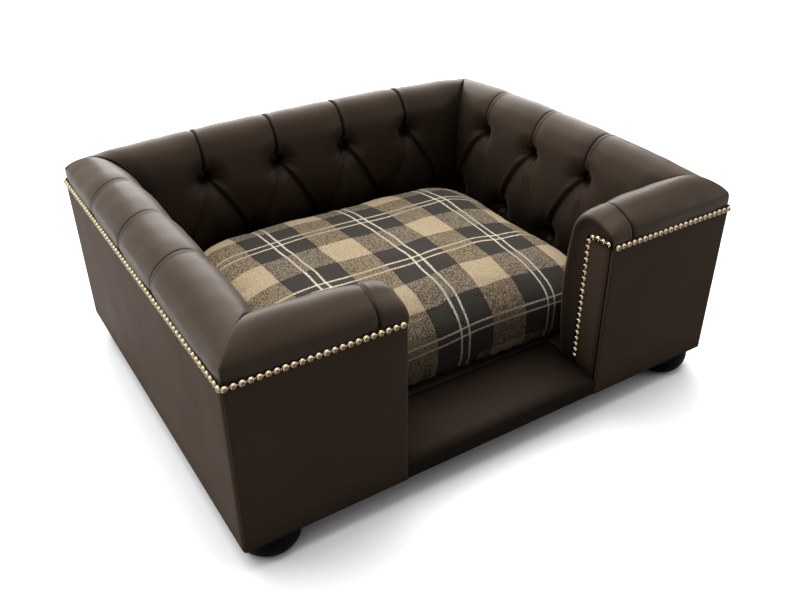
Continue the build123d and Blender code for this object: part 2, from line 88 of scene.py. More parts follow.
def curvePoints(keys, step):
    # a smooth line through the key points, cut to even steps
    keys = np.array(keys, float)
    longer = np.vstack([2 * keys[0] - keys[1], keys, 2 * keys[-1] - keys[-2]])
    fine = []
    for p0, p1, p2, p3 in zip(longer, longer[1:], longer[2:], longer[3:]):
        for t in np.linspace(0, 1, 24, endpoint=False):
            fine.append(0.5 * (2 * p1 + (p2 - p0) * t + (2 * p0 - 5 * p1 + 4 * p2 - p3) * t ** 2
                               + (3 * p1 - p0 - 3 * p2 + p3) * t ** 3))
    fine = np.array(fine + [keys[-1]])
    run = runAlong(fine)
    marks = np.linspace(0, run[-1], max(2, int(round(run[-1] / step)) + 1))
    return np.column_stack([np.interp(marks, run, fine[:, k]) for k in range(fine.shape[1])]), marks


def arc(low, high, count):
    # sine and cosine at even steps of an angle
    return [(math.sin(a), math.cos(a)) for a in np.linspace(low, high, count)]


def quarter(count):
    return arc(0, math.pi / 2, count)


def setAll(thing, settings):
    for key, value in settings.items():
        setattr(thing, key, value)


def addObject(name, data):
    obj = bpy.data.objects.new(name, data)
    bpy.context.scene.collection.objects.link(obj)
    return obj


def addMesh(name, verts, faces, smooth=True):
    mesh = bpy.data.meshes.new(name)
    mesh.from_pydata(np.asarray(verts, float).tolist(), [], faces)
    mesh.validate()
    mesh.update()
    if smooth:
        mesh.polygons.foreach_set("use_smooth", [True] * len(mesh.polygons))
    return addObject(name, mesh)


def fixNormals(obj):
    bm = bmesh.new()
    bm.from_mesh(obj.data)
    bmesh.ops.recalc_face_normals(bm, faces=bm.faces)
    bm.to_mesh(obj.data)
    bm.free()


def meshPoints(obj):
    co = np.zeros(len(obj.data.vertices) * 3)
    obj.data.vertices.foreach_get("co", co)
    return co.reshape(-1, 3)


def movePoints(obj, co):
    obj.data.vertices.foreach_set("co", co.ravel())
    obj.data.update()


def applyModifier(obj, kind, **settings):
    made = obj.modifiers.new(kind.lower(), kind)
    setAll(made, settings)
    bpy.context.view_layer.objects.active = obj
    bpy.ops.object.modifier_apply(modifier=made.name)


def gridFaces(rows, cols, wrapCols=False, start=0):
    faces = []
    for i in range(rows - 1):
        for j in range(cols if wrapCols else cols - 1):
            k = (j + 1) % cols
            a = start + i * cols
            faces.append((a + j, a + k, a + cols + k, a + cols + j))
    return faces


def flipped(faces):
    return [tuple(reversed(f)) for f in faces]


def tubeFaces(rings, turns):
    # rings of points as one closed tube, with a face over each end
    last = (rings - 1) * turns
    ends = [tuple(reversed(range(turns))), tuple(range(last, last + turns))]
    return gridFaces(rings, turns, wrapCols=True) + ends


def closedSheet(grid, thickness):
    # a grid of points as a thin closed sheet; its back lies at that thickness behind it
    rows, cols, _ = grid.shape
    normal = np.cross(np.gradient(grid, axis=1), np.gradient(grid, axis=0))
    normal /= np.linalg.norm(normal, axis=2, keepdims=True) + 1e-12
    back = grid - normal * thickness
    n = rows * cols
    faces = flipped(gridFaces(rows, cols)) + gridFaces(rows, cols, start=n)
    ring = [j for j in range(cols)] + [i * cols + cols - 1 for i in range(1, rows)]
    ring += [(rows - 1) * cols + j for j in range(cols - 2, -1, -1)]
    ring += [i * cols for i in range(rows - 2, 0, -1)]
    faces += [(a, b, b + n, a + n) for a, b in zip(ring, ring[1:] + ring[:1])]
    return np.concatenate([grid.reshape(-1, 3), back.reshape(-1, 3)]), faces


def turned(profile, turns, centre, first, second, axis, ripple=None):
    # a turned piece from pairs of radius and height; both ends are closed
    verts = []
    for radius, height in profile:
        for k in range(turns):
            angle = 2 * math.pi * k / turns
            reach = radius * ripple(angle, height) if ripple else radius
            verts.append(centre + (first * math.cos(angle) + second * math.sin(angle)) * reach + axis * height)
    return verts, tubeFaces(len(profile), turns)


def joinParts(parts):
    verts, faces = [], []
    for partVerts, partFaces in parts:
        start = len(verts)
        verts += [tuple(v) for v in partVerts]
        faces += [tuple(i + start for i in f) for f in partFaces]
    return verts, faces


def otherSide(name):
    return name.replace("Left", "Right").replace("left", "right")


def dress(obj, material, body="bed", replaced=()):
    # finish, material slot, the body it moves with and the CAD nodes it stands for
    obj.data.materials.clear()
    obj.data.materials.append(material)
    if replaced:
        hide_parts(*replaced)
    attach(obj, body)


def dressBoth(obj, material, cadNode):
    # finish a piece and, when it stands on the left, its mirror image on the right
    dress(obj, material, replaced=[cadNode])
    if otherSide(obj.name) == obj.name:
        return [obj]
    mesh = obj.data.copy()
    mesh.name = otherSide(obj.name)
    mesh.transform(Matrix.Scale(-1, 4, (1, 0, 0)))
    mesh.flip_normals()
    other = addObject(otherSide(obj.name), mesh)
    dress(other, material, replaced=[otherSide(cadNode)])
    return [obj, other]


# materials


def newMaterial(name):
    material = bpy.data.materials.new(name)
    material.use_nodes = True
    tree = material.node_tree
    return material, tree, tree.nodes["Principled BSDF"]


def setInputs(tree, made, inputs):
    # each input is given a value or the socket that feeds it
    for key, value in inputs.items():
        socket = made.inputs[key]
        if isinstance(value, bpy.types.NodeSocket):
            tree.links.new(value, socket)
        elif socket.type == "RGBA":
            socket.default_value = (*value, 1)
        elif value is not None:
            socket.default_value = value


def node(tree, kind, inputs=None, **settings):
    made = tree.nodes.new("ShaderNode" + kind)
    setAll(made, settings)
    setInputs(tree, made, inputs or {})
    return made


def mathNode(tree, operation, *values):
    return node(tree, "Math", dict(enumerate(values)), operation=operation).outputs[0]


def fraction(tree, value, size):
    # how far through its repeat a value is
    return mathNode(tree, "FRACT", mathNode(tree, "DIVIDE", value, size))


def mixColour(tree, factor, first, second, blend="MIX"):
    return node(tree, "Mix", {0: factor, 6: first, 7: second}, data_type="RGBA", blend_type=blend).outputs[2]


def bumpNode(tree, height, strength, distance, under=None):
    inputs = {"Strength": strength, "Distance": distance, "Height": height, "Normal": under}
    return node(tree, "Bump", inputs).outputs["Normal"]


def ramp(tree, source, stops, interpolation="LINEAR"):
    # colours by position; a plain number stands for a grey
    made = node(tree, "ValToRGB", {"Fac": source})
    made.color_ramp.interpolation = interpolation
    while len(made.color_ramp.elements) < len(stops):
        made.color_ramp.elements.new(0.5)
    for element, (position, colour) in zip(made.color_ramp.elements, stops):
        element.position = position
        element.color = (*(colour if isinstance(colour, tuple) else (colour,) * 3), 1)
    return made.outputs["Color"]


def objectPlace(tree):
    return node(tree, "TexCoord").outputs["Object"]


def noise(tree, place, scale, detail, distortion=0.0):
    inputs = {"Vector": place, "Scale": scale, "Detail": detail, "Distortion": distortion}
    return node(tree, "TexNoise", inputs).outputs["Fac"]


def stretched(tree, place, scale):
    return node(tree, "Mapping", {"Vector": place, "Scale": scale}).outputs["Vector"]


def hollows(tree, reach, stops, samples=4):
    # colours from closed in to free, by how near other faces stand
    nearBy = node(tree, "AmbientOcclusion", {"Distance": reach}, samples=samples)
    return ramp(tree, nearBy.outputs["AO"], stops)


def scaled(colour, share):
    return tuple(c * share for c in colour)


leatherLook = {
    "colour": (0.0570, 0.0400, 0.0285),
    "worn": (0.0660, 0.0475, 0.0350),
    "roughness": (0.36, 0.46),
    "specular": 0.115,
    "bloom": 0.10,
    "bloomRoughness": 0.42,
    "sheenTint": (1.0, 0.80, 0.62),
    # marks per metre
    "grain": 900.0,
    "pores": 315.0,
    "clouds": 7.0,
    "stretchMarks": 30.0,
    "grainDepth": 0.00006,
    "creaseDepth": 0.00010,
    # painted shade in the folds and wells: how far it reaches, and its colour
    "paintedShadeReach": 0.10,
    "paintedShadeColour": (0.08, 0.06, 0.045),
}


def leatherMaterial(name, look, paintedBrightness=1.0, gloss=1.0):
    # smooth coated hide: pebbled grain, faint stretch marks, uneven sheen
    material, tree, shader = newMaterial(name)
    place = objectPlace(tree)
    grain = node(tree, "TexVoronoi", {"Vector": place, "Scale": look["grain"]}, feature="SMOOTH_F1")
    pores = noise(tree, place, look["pores"], 4.0)
    clouds = noise(tree, place, look["clouds"], 3.0)
    stretchMarks = noise(tree, place, look["stretchMarks"], 4.0, 0.4)
    # paintedBrightness makes lit and shaded copies of the one hide: above one it is painted light, below one painted
    # shade
    colour = ramp(tree, clouds, [(0.3, scaled(look["colour"], paintedBrightness)), (0.72, scaled(look["worn"], paintedBrightness))])
    # painted shade: the folds, the slots and the deep wells are painted darker by how closed in they are
    paintedHollowShade = hollows(tree, look["paintedShadeReach"], [(0.30, look["paintedShadeColour"]), (0.97, 1.0)])
    low, high = look["roughness"]
    rough = {"Value": pores, "From Min": 0.3, "From Max": 0.7, "To Min": low, "To Max": high}
    pebbles = bumpNode(tree, grain.outputs["Distance"], 0.5, look["grainDepth"])
    setInputs(tree, shader, {
        "Base Color": mixColour(tree, 1.0, colour, paintedHollowShade, "MULTIPLY"),
        "Roughness": node(tree, "MapRange", rough).outputs["Result"],
        "Specular IOR Level": look["specular"] * gloss,
        "Specular Tint": look["sheenTint"],
        "Sheen Weight": look["bloom"] * gloss,
        "Sheen Roughness": look["bloomRoughness"],
        "Sheen Tint": look["sheenTint"],
        "Normal": bumpNode(tree, stretchMarks, 0.3, look["creaseDepth"], pebbles),
    })
    return material


hideRoll = leatherMaterial("hideRoll", leatherLook)
# painted light: the outer covers are painted nearly twice as light as the rolls, for the light that falls on the
# outer walls
hideCover = leatherMaterial("hideCover", leatherLook, 1.95, 0.04)  # drawn tight, so duller
# painted shade: the buttons are painted a tenth darker, as the shade in their deep pits
hideButtonPaintedShade = leatherMaterial("hideButtonPaintedShade", leatherLook, 0.9)
# painted shade: the step is painted at half the hide's brightness, as the shade the cushion and the front returns
# cast on it
hideStepPaintedShade = leatherMaterial("hideStepPaintedShade", leatherLook, 0.50, 0.1)

tartanLook = {
    "repeat": 0.178,  # one full check, the same both ways
    "twill": 0.0042,  # four threads of the weave
    "thread": (0.0012, 0.0017, 1.0),
    "camel": (0.495, 0.392, 0.268),
    "charcoal": (0.052, 0.044, 0.037),
    "black": (0.016, 0.014, 0.012),
    "grey": (0.075, 0.062, 0.050),
    "cream": (0.82, 0.74, 0.59),
    "weftCream": (0.80, 0.68, 0.50),
    "ochre": (0.46, 0.30, 0.10),
    # from the middle of the light band, where these begin: dark line, charcoal, cream stripe, grey strip
    "shares": (0.188, 0.200, 0.444, 0.465),
    "twillShows": 0.16,  # how much of the mixing follows the diagonal
    "weftShows": [(0.36, 0.02), (0.64, 0.78)],  # how far the weft lies on top, by a random value
    "stripeCovers": 0.50,
    "streaks": (420.0, 60.0, 1.0),  # flecks per metre across and along
    "mottle": 420.0,
    "crossed": 0.72,
}


def tartanStripes(tree, share, look, cream):
    # the colour of the threads across one full repeat, the same from both sides of its middle
    line, dark, stripe, strip = look["shares"]
    return ramp(tree, share, [
        (0.0, look["camel"]), (line, look["black"]), (dark, look["charcoal"]), (stripe, cream), (strip, look["grey"]),
        (1 - strip, cream), (1 - stripe, look["charcoal"]), (1 - dark, look["black"]), (1 - line, look["camel"]),
    ], "CONSTANT")


def tartanMaterial(name, look):
    # two-by-two twill of warp and weft stripes, with ochre flecks in the yarn
    material, tree, shader = newMaterial(name)
    weave = node(tree, "Attribute", attribute_name="weave").outputs["Vector"]
    across, along = node(tree, "SeparateXYZ", {0: weave}).outputs[:2]
    shares = [fraction(tree, across, look["repeat"]), fraction(tree, along, look["repeat"])]
    warp = tartanStripes(tree, shares[0], look, look["cream"])
    weft = tartanStripes(tree, shares[1], look, look["weftCream"])
    diagonal = mathNode(tree, "ADD", across, along)
    over = mathNode(tree, "GREATER_THAN", fraction(tree, diagonal, look["twill"]), 0.5)
    # each crossing shows the one yarn or the other, a little unevenly
    crossings = node(tree, "VectorMath", {0: weave, 1: look["thread"]}, operation="SNAP").outputs[0]
    chance = node(tree, "TexWhiteNoise", {"Vector": crossings}).outputs["Value"]
    softOver = mathNode(tree, "ADD", mathNode(tree, "MULTIPLY", over, look["twillShows"]),
                        ramp(tree, chance, look["weftShows"]))
    # the light stripes are of thicker yarn, which mostly hides what crosses it
    bandEdge, _, inner, outer = look["shares"]
    stripes = []
    for share in shares:
        fromMiddle = mathNode(tree, "ABSOLUTE", mathNode(tree, "SUBTRACT", share, 0.5))
        stripe = mathNode(tree, "COMPARE", fromMiddle, 0.5 - (inner + outer) / 2, (outer - inner) / 2)
        stripes.append(mathNode(tree, "MULTIPLY", stripe, look["stripeCovers"]))
    softOver = mathNode(tree, "SUBTRACT", softOver, mathNode(tree, "MULTIPLY", softOver, stripes[0]))
    hidden = mathNode(tree, "MULTIPLY", mathNode(tree, "SUBTRACT", 1.0, softOver), stripes[1])
    colour = mixColour(tree, mathNode(tree, "ADD", softOver, hidden), warp, weft)
    # ochre flecks: short streaks along the yarn, in the light bands of the warp only
    dark = [mathNode(tree, "COMPARE", share, 0.5, 0.5 - bandEdge) for share in shares]
    flecks = ramp(tree, noise(tree, stretched(tree, weave, look["streaks"]), 1.0, 2.0), [(0.52, 0.0), (0.62, 0.6)])
    flecks = mathNode(tree, "MULTIPLY", flecks, mathNode(tree, "SUBTRACT", 1.0, dark[0]))
    colour = mixColour(tree, flecks, colour, look["ochre"])
    # where a light band crosses a dark one the cloth looks darker
    mixed = mathNode(tree, "ABSOLUTE", mathNode(tree, "SUBTRACT", dark[0], dark[1]))
    colour = mixColour(tree, 1.0, colour, ramp(tree, mixed, [(0.4, 1.0), (0.6, look["crossed"])]), "MULTIPLY")
    mottle = noise(tree, weave, look["mottle"], 3.0)
    colour = mixColour(tree, 1.0, colour, ramp(tree, mottle, [(0.34, 0.62), (0.66, 1.30)]), "MULTIPLY")
    ridge = mathNode(tree, "SINE", mathNode(tree, "MULTIPLY", diagonal, 2 * math.pi / look["twill"]))
    threads = bumpNode(tree, ridge, 0.5, 0.00018)
    setInputs(tree, shader, {
        "Base Color": colour,
        "Roughness": 0.92,
        "Specular IOR Level": 0.08,
        "Sheen Weight": 0.06,
        "Sheen Roughness": 0.5,
        "Normal": bumpNode(tree, mottle, 0.4, 0.0003, threads),
    })
    return material


tartan = tartanMaterial("tartanWool", tartanLook)


def woodMaterial(name, light, dark, rings, roughness):
    # sawn timber: long grain with darker growth rings
    material, tree, shader = newMaterial(name)
    grain = noise(tree, stretched(tree, objectPlace(tree), rings), 1.0, 6.0, 0.8)
    setInputs(tree, shader, {
        "Base Color": ramp(tree, grain, [(0.3, dark), (0.62, light)]),
        "Roughness": roughness,
        "Normal": bumpNode(tree, grain, 0.4, 0.0004),
    })
    return material


def clothMaterial(name, colour, pitch, roughness):
    # plain weave: crossing threads as waves
    material, tree, shader = newMaterial(name)
    place = objectPlace(tree)
    ways = node(tree, "SeparateXYZ", {0: place}).outputs[:2]
    waves = [mathNode(tree, "SINE", mathNode(tree, "MULTIPLY", way, 2 * math.pi / pitch)) for way in ways]
    setInputs(tree, shader, {
        "Base Color": ramp(tree, noise(tree, place, 300.0, 4.0), [(0.3, colour), (0.7, scaled(colour, 1.5))]),
        "Roughness": roughness,
        "Specular IOR Level": 0.2,
        "Normal": bumpNode(tree, mathNode(tree, "MULTIPLY", *waves), 0.5, 0.0003),
    })
    return material


def metalMaterial(name, colour, roughness, scratch, crown=1.0):
    # plated metal with faint handling marks, and tarnish in the corners
    material, tree, shader = newMaterial(name)
    marks = noise(tree, objectPlace(tree), scratch, 5.0)
    plate = ramp(tree, marks, [(0.35, scaled(colour, 0.8)), (0.6, colour)])
    tarnish = hollows(tree, 4 * mm, [(0.30, (0.10, 0.08, 0.06)), (0.75, 1.0)])
    plate = mixColour(tree, 1.0, plate, tarnish, "MULTIPLY")
    if crown < 1:
        # painted reflection: the middle of each bead, which faces straight out, is painted browner and darker than
        # its rim, in place of a dark reflection
        facing = node(tree, "SeparateXYZ", {0: node(tree, "NewGeometry").outputs["Normal"]}).outputs
        sideways = mathNode(tree, "MAXIMUM", *(mathNode(tree, "ABSOLUTE", part) for part in facing[:2]))
        paintedDarkCentre = ramp(tree, sideways, [(0.72, 1.0), (0.86, (crown, crown * 0.85, crown * 0.7))])
        plate = mixColour(tree, 1.0, plate, paintedDarkCentre, "MULTIPLY")
    rough = {"Value": marks, "To Min": roughness * 0.7, "To Max": roughness * 1.4}
    setInputs(tree, shader, {
        "Base Color": plate,
        "Metallic": 1.0,
        "Roughness": node(tree, "MapRange", rough).outputs["Result"],
    })
    return material


def lacquerMaterial(name, colour):
    # black lacquer on turned wood: the grain still shows a little
    material, tree, shader = newMaterial(name)
    grain = noise(tree, objectPlace(tree), 90.0, 5.0)
    setInputs(tree, shader, {
        "Base Color": ramp(tree, grain, [(0.35, colour), (0.7, scaled(colour, 1.8))]),
        "Roughness": 0.5,
        "Specular IOR Level": 0.025,
        "Normal": bumpNode(tree, grain, 0.3, 0.0002),
    })
    return material


def foamMaterial(name, colour):
    # open-cell foam or loose filling
    material, tree, shader = newMaterial(name)
    cells = node(tree, "TexVoronoi", {"Vector": objectPlace(tree), "Scale": 600.0}).outputs["Distance"]
    setInputs(tree, shader, {
        "Base Color": ramp(tree, cells, [(0.0, scaled(colour, 0.7)), (0.5, colour)]),
        "Roughness": 0.95,
        "Normal": bumpNode(tree, cells, 0.6, 0.0006),
    })
    return material


# the last number paints the middle of each bead darker: painted reflection
brass = metalMaterial("paleBrass", (0.62, 0.50, 0.33), 0.14, 250.0, 0.22)
zinc = metalMaterial("zincPlate", (0.60, 0.60, 0.58), 0.35, 120.0)
zipMetal = metalMaterial("darkPlate", (0.16, 0.16, 0.17), 0.35, 200.0)
plywood = woodMaterial("plywood", (0.62, 0.46, 0.28), (0.42, 0.29, 0.16), (18.0, 18.0, 160.0), 0.7)
timber = woodMaterial("timber", (0.66, 0.50, 0.30), (0.46, 0.31, 0.17), (12.0, 90.0, 90.0), 0.65)
footBlack = lacquerMaterial("footBlack", (0.006, 0.006, 0.0065))
# painted shade: the lining is painted nearly black, as the shade under the cushion's front edge
liningClothPaintedShade = clothMaterial("liningClothPaintedShade", (0.008, 0.006, 0.005), 0.0016, 0.95)
dustCloth = clothMaterial("dustCloth", (0.012, 0.012, 0.012), 0.0024, 0.95)
zipTape = clothMaterial("zipTape", (0.010, 0.010, 0.010), 0.0012, 0.85)
foamBlock = foamMaterial("foamBlock", (0.72, 0.66, 0.48))
fibreFill = foamMaterial("fibreFill", (0.82, 0.80, 0.75))
print("materials made")


# walls on the left half and at the back: each has its own frame, x along it, depth inwards, z up
walls = [
    {
        "name": "back",
        "node": "back",
        "place": ((0, halfDepth, 0), (-1, 0, 0), (0, -1, 0)),  # origin, along, inwards
        "length": 2 * halfWidth,
        "buttons": ((-222.0, -74.0, 74.0, 222.0), (-296.0, -148.0, 0.0, 148.0, 296.0)),  # upper and lower row, mm
        "crown": 7.0 * mm,  # the roll stands fuller in mid-wall
        "lipSide": -1,
        "openEnd": False,
        "seeds": {"pad": 11, "cover": 51},
    },
    {
        "name": "left",
        "node": "left",
        "place": ((-halfWidth, 0, 0), (0, -1, 0), (1, 0, 0)),
        "length": 2 * halfDepth,
        "buttons": ((-180.0, -32.0, 116.0), (-254.0, -106.0, 42.0, 190.0)),
        "crown": 5.0 * mm,
        "lipSide": 1,
        "openEnd": False,
        "seeds": {"pad": 23, "cover": 52},
    },
    {
        "name": "frontLeft",
        "node": "front_left",
        "place": ((-halfWidth + returnWidth / 2, -halfDepth, 0), (1, 0, 0), (0, 1, 0)),
        "length": returnWidth,
        "buttons": ((92.0,), (18.0,)),
        "crown": 0.0,
        "lipSide": 1,
        "openEnd": True,
        "seeds": {"pad": 37, "cover": 53},
    },
]
for wall in walls:
    wall["place"] = [np.array(v, float) for v in wall["place"]]
    wall["buttons"] = [[v * mm for v in row] for row in wall["buttons"]]


def toWorld(wall, x, depth, z):
    origin, along, inward = wall["place"]
    return origin + x[..., None] * along + depth[..., None] * inward + z[..., None] * upward


padLook = {
    # section from the nail line over the roll and down to the base board: depth, rise above the nail line, mm
    "section": [
        (1.4, 0.0), (0.4, 6.0), (-0.6, 13.0), (0.2, 21.0), (3.4, 30.0), (11.5, 39.5), (24.0, 49.0), (36.0, 55.0),
        (48.0, 57.0), (60.0, 55.2), (70.5, 49.5), (81.0, 39.0), (91.0, 22.0), (97.5, 2.0), (101.5, -22.0),
        (105.0, -55.0), (107.0, -96.0), (107.0, -130.0), (104.0, -165.0), (98.0, -205.0), (91.5, -240.0),
        (90.0, -265.5),
    ],
    "step": 2.4 * mm,
    "fineStep": 0.7 * mm,  # beside the pleats
    "buttonHeights": (262.0 * mm, 122.0 * mm),  # above the underside of the body
    "buttonDepth": 67.5 * mm,
    # folds between buttons; of each pair of widths the first is above the crease, the second below it
    "foldSpan": 100.0 * mm,  # buttons further apart along the wall have no fold between them
    "strongBend": ((0.44, 0.27), (0.88, 0.66)),  # points that draw the crease, as shares along and down
    "faintBend": ((0.10, 0.42), (0.62, 0.80)),
    "foldDepth": 5.2 * mm,
    "faintFold": 1.6 * mm,
    "faintShares": (0.30, 0.4, 1.6),  # for the slit, the lip and the distance of a faint fold
    "foldAtButton": 8.0 * mm,
    "foldWidths": (5.0 * mm, 17.0 * mm),
    "slit": 5.0 * mm,
    "slitWidths": (1.4 * mm, 2.6 * mm),
    "lip": 1.9 * mm,
    "lipPlace": 6.2 * mm,
    "lipWidth": 4.0 * mm,
    # pleats over the roll
    "pleatDepth": 4.2 * mm,
    "pleatAtButton": 4.0 * mm,
    "pleatWidths": (1.1 * mm, 2.2 * mm),
    "pleatWander": 1.6 * mm,
    "pleatLip": ((0.6 * mm, 2.2 * mm), (12.0 * mm, 4.5 * mm)),  # where it rises and where it ends
    "dish": (1.2 * mm, 2.2 * mm, 16.0 * mm),  # everywhere, more at the nails, more at the button
    "lowerPleat": (4.0 * mm, 12.0 * mm),  # all the way down, more at the button
    # cells between the folds, and on the roll
    "puff": 3.4 * mm,
    "rollPuff": 0.5 * mm,
    "puffReach": 30.0 * mm,
    # funnels round the buttons: share of the depth and radii of the steep part, then of the wide part
    "steep": (0.52, 6.2 * mm, 5.8 * mm),
    "wide": (0.48, 16.5 * mm),
    "powers": (1.6, 2.4),
    "funnelReach": (58.0 * mm, 22.0 * mm),
    "gather": 0.9 * mm,
    "gathers": (7, 11),
    "gatherPlace": 19.0 * mm,
    "unevenness": 0.5 * mm,
    # corners of the bed and the free end of the front wall
    "margin": 20.0 * mm,  # between the last button and where the columns fan out
    "cornerDraw": 2.6 * mm,
    "cornerReach": 35.0 * mm,
    "cornerSeam": 1.3 * mm,
    "cornerRound": 8.0 * mm,
    "cornerDrop": 3.0 * mm,
    "endDrop": 15.0 * mm,
    "gap": 0.15 * mm,
    "endRound": 36.0 * mm,
    "endBulge": 6.0 * mm,
}


def sectionLine(look):
    keys = [(d * mm, nailZ + rise * mm) for d, rise in look["section"]]
    points, run = curvePoints(keys, look["step"])
    tangent = np.gradient(points, axis=0)
    tangent /= np.linalg.norm(tangent, axis=1, keepdims=True)
    outward = np.column_stack([-tangent[:, 1], tangent[:, 0]])  # away from the padding
    # below the roll the hide only moves straight in and out
    crest = np.argmax(points[:, 1])
    level = smoothStep(nailZ + 30 * mm, nailZ - 8 * mm, points[:, 1]) * (np.arange(len(points)) > crest)
    outward = outward * (1 - level[:, None]) + np.array((1.0, 0.0)) * level[:, None]
    outward /= np.linalg.norm(outward, axis=1, keepdims=True)
    return points, run, outward


def pastCrest(points, run, z):
    # how far along the section the inner face reaches a height
    crest = np.argmax(points[:, 1])
    return float(np.interp(-z, -points[crest:, 1], run[crest:]))


def roundedCorner(toEdge, radius):
    # how far a rounded upright corner lies inside the flat face
    near = np.clip(radius - toEdge, 0, radius)
    return radius - np.sqrt(radius ** 2 - near ** 2)


def creaseLine(x0, s0, x1, s1, bend):
    # a fold from an upper button to a lower one, which bows a little
    dx, ds = x1 - x0, s1 - s0
    first, second = bend
    keys = np.array([(x0, s0), (x0 + first[0] * dx, s0 + first[1] * ds),
                     (x0 + second[0] * dx, s0 + second[1] * ds), (x1, s1)])
    t = np.linspace(0, 1, 22)[:, None]
    return ((1 - t) ** 3 * keys[0] + 3 * (1 - t) ** 2 * t * keys[1]
            + 3 * (1 - t) * t ** 2 * keys[2] + t ** 3 * keys[3])


farOff = 9.0  # beyond any distance on the bed


def offLine(x, s, line):
    # distance to a line, which side of it a point is on, and how far along it lies
    best = np.full(x.shape, farOff)
    side, along = np.zeros(x.shape), np.zeros(x.shape)
    start = runAlong(line)
    for k, ((ax, ay), (bx, by)) in enumerate(zip(line, line[1:])):
        ux, uy = bx - ax, by - ay
        t = np.clip(((x - ax) * ux + (s - ay) * uy) / (ux * ux + uy * uy), 0, 1)
        px, py = x - ax - t * ux, s - ay - t * uy
        distance = np.hypot(px, py)
        nearer = distance < best
        best = np.where(nearer, distance, best)
        side = np.where(nearer, np.sign(ux * py - uy * px), side)
        along = np.where(nearer, start[k] + t * (start[k + 1] - start[k]), along)
    return best, side, along, start[-1]


def tuftDepth(x, s, run, points, wall, look):
    # how far the hide is pulled in, at places along the wall and along the section
    uppers, lowers = wall["buttons"]
    upperS, lowerS = (pastCrest(points, run, baseZ + h) for h in look["buttonHeights"])
    depth, slits, raised = (np.zeros(x.shape) for _ in range(3))
    nearest = np.full(x.shape, farOff)

    # folds between the buttons: a crisp slit, a lip that rolls over it, and a long valley
    for xu in uppers:
        for xl in lowers:
            if abs(xl - xu) > look["foldSpan"]:
                continue
            strong = xl < xu
            crease = creaseLine(xu, upperS, xl, lowerS, look["strongBend" if strong else "faintBend"])
            slitShare, lipShare, awayShare = (1.0, 1.0, 1.0) if strong else look["faintShares"]
            away, side, along, length = offLine(x, s, crease)
            upper = side > 0 if strong else side < 0
            ends = bell(along, 0.020, 1) + 0.8 * bell(length - along, 0.026, 1)
            base = look["foldDepth"] if strong else look["faintFold"]
            valley = (base + look["foldAtButton"] * ends) * bell(away, np.where(upper, *look["foldWidths"]), 1.1)
            depth = np.maximum(depth, valley)
            cut = look["slit"] * slitShare * (0.55 + 0.45 * ends)
            slits = np.maximum(slits, cut * bell(away, np.where(upper, *look["slitWidths"]), 1.4))
            lip = look["lip"] * lipShare * bell(away - look["lipPlace"], look["lipWidth"])
            raised += np.where(upper, lip, 0) * smoothStep(0.0, 0.014, along) * smoothStep(0.0, 0.03, length - along)
            nearest = np.minimum(nearest, away * awayShare)

    # pleats over the roll, from each upper button to the nail line
    overRoll = smoothStep(upperS * 0.80, upperS * 0.50, s)
    above = smoothStep(upperS + 0.002, upperS - 0.008, s)
    closeBy = bell((upperS - s).clip(0), 0.020, 1)
    atNails = smoothStep(0.045, 0.012, s)
    everywhere, moreAtNails, moreAtButton = look["dish"]
    lipStart, lipEnd = look["pleatLip"]
    for k, xu in enumerate(uppers):
        off = (x - xu - look["pleatWander"] * np.sin((s / upperS) * 3.0 + k)) * wall["lipSide"]
        away = np.abs(off)
        cut = look["pleatDepth"] + look["pleatAtButton"] * closeBy
        cut = cut * bell(away, np.where(off > 0, *look["pleatWidths"]), 1.3)
        dish = (everywhere + moreAtNails * atNails + moreAtButton * closeBy) * bell(away, 0.012, 1)
        lip = look["lip"] * smoothStep(*lipStart, off) * smoothStep(*lipEnd, off)
        slits = np.maximum(slits, above * cut)
        depth = np.maximum(depth, above * dish)
        raised += above * lip * (1 - 0.35 * overRoll)
        nearest = np.minimum(nearest, np.where(s < upperS, away * 1.3, farOff))

    # short pleats under the lower buttons
    below = smoothStep(lowerS - 0.004, lowerS + 0.02, s)
    always, moreAtButton = look["lowerPleat"]
    fall = always + moreAtButton * bell((s - lowerS).clip(0), 0.026, 1)
    for xl in lowers:
        away = np.abs(x - xl)
        depth = np.maximum(depth, below * fall * bell(away, 0.008, 1))
        nearest = np.minimum(nearest, np.where(s > lowerS, away, farOff))

    # the cells between the folds swell, and the roll stays nearly level
    swell = look["puff"] + (look["rollPuff"] - look["puff"]) * overRoll
    raised += swell * (1 - bell(nearest, look["puffReach"]))

    # funnels round the buttons: steep at the button, wide above it, with small gathers
    rng = np.random.default_rng(wall["seeds"]["pad"])
    gathers = np.zeros(x.shape)
    steepShare, floorRadius, steepRadius = look["steep"]
    wideShare, wideRadius = look["wide"]
    steepPower, widePower = look["powers"]
    for row, level in ((uppers, upperS), (lowers, lowerS)):
        deep = np.interp(level, run, points[:, 0]) - look["buttonDepth"]
        for xb in row:
            dx, ds = x - xb, s - level
            radius = np.hypot(dx, ds)
            steep = steepShare / (1 + (np.clip(radius - floorRadius, 0, None) / steepRadius) ** steepPower)
            wide = wideShare / (1 + (radius / wideRadius) ** widePower)
            funnel = deep * (steep + wide) * smoothStep(*look["funnelReach"], radius)
            both = (depth ** widePower + funnel ** widePower) ** (1 / widePower)
            depth = np.minimum(both, np.maximum(deep, depth))
            slits *= smoothStep(0.0065, 0.0100, radius)
            count = rng.integers(*look["gathers"])
            wave = np.cos(np.arctan2(ds, dx) * count + rng.uniform(0, 6))
            gathers += look["gather"] * bell(radius - look["gatherPlace"], 0.009) * wave
            raised *= 1 - bell(radius, 0.018)
    uneven = look["unevenness"] * softNoise(x, s, 0.085, wall["seeds"]["pad"])
    return depth + slits - raised + gathers + uneven


def padColumns(low, high, pleats, look):
    # places along the wall, closer together by the pleats
    marks = [low]
    while marks[-1] < high - look["fineStep"]:
        near = min(abs(marks[-1] - p) for p in pleats)
        step = look["fineStep"] if near < 0.010 else look["step"]
        marks.append(min(high, marks[-1] + step))
    return np.array(marks)


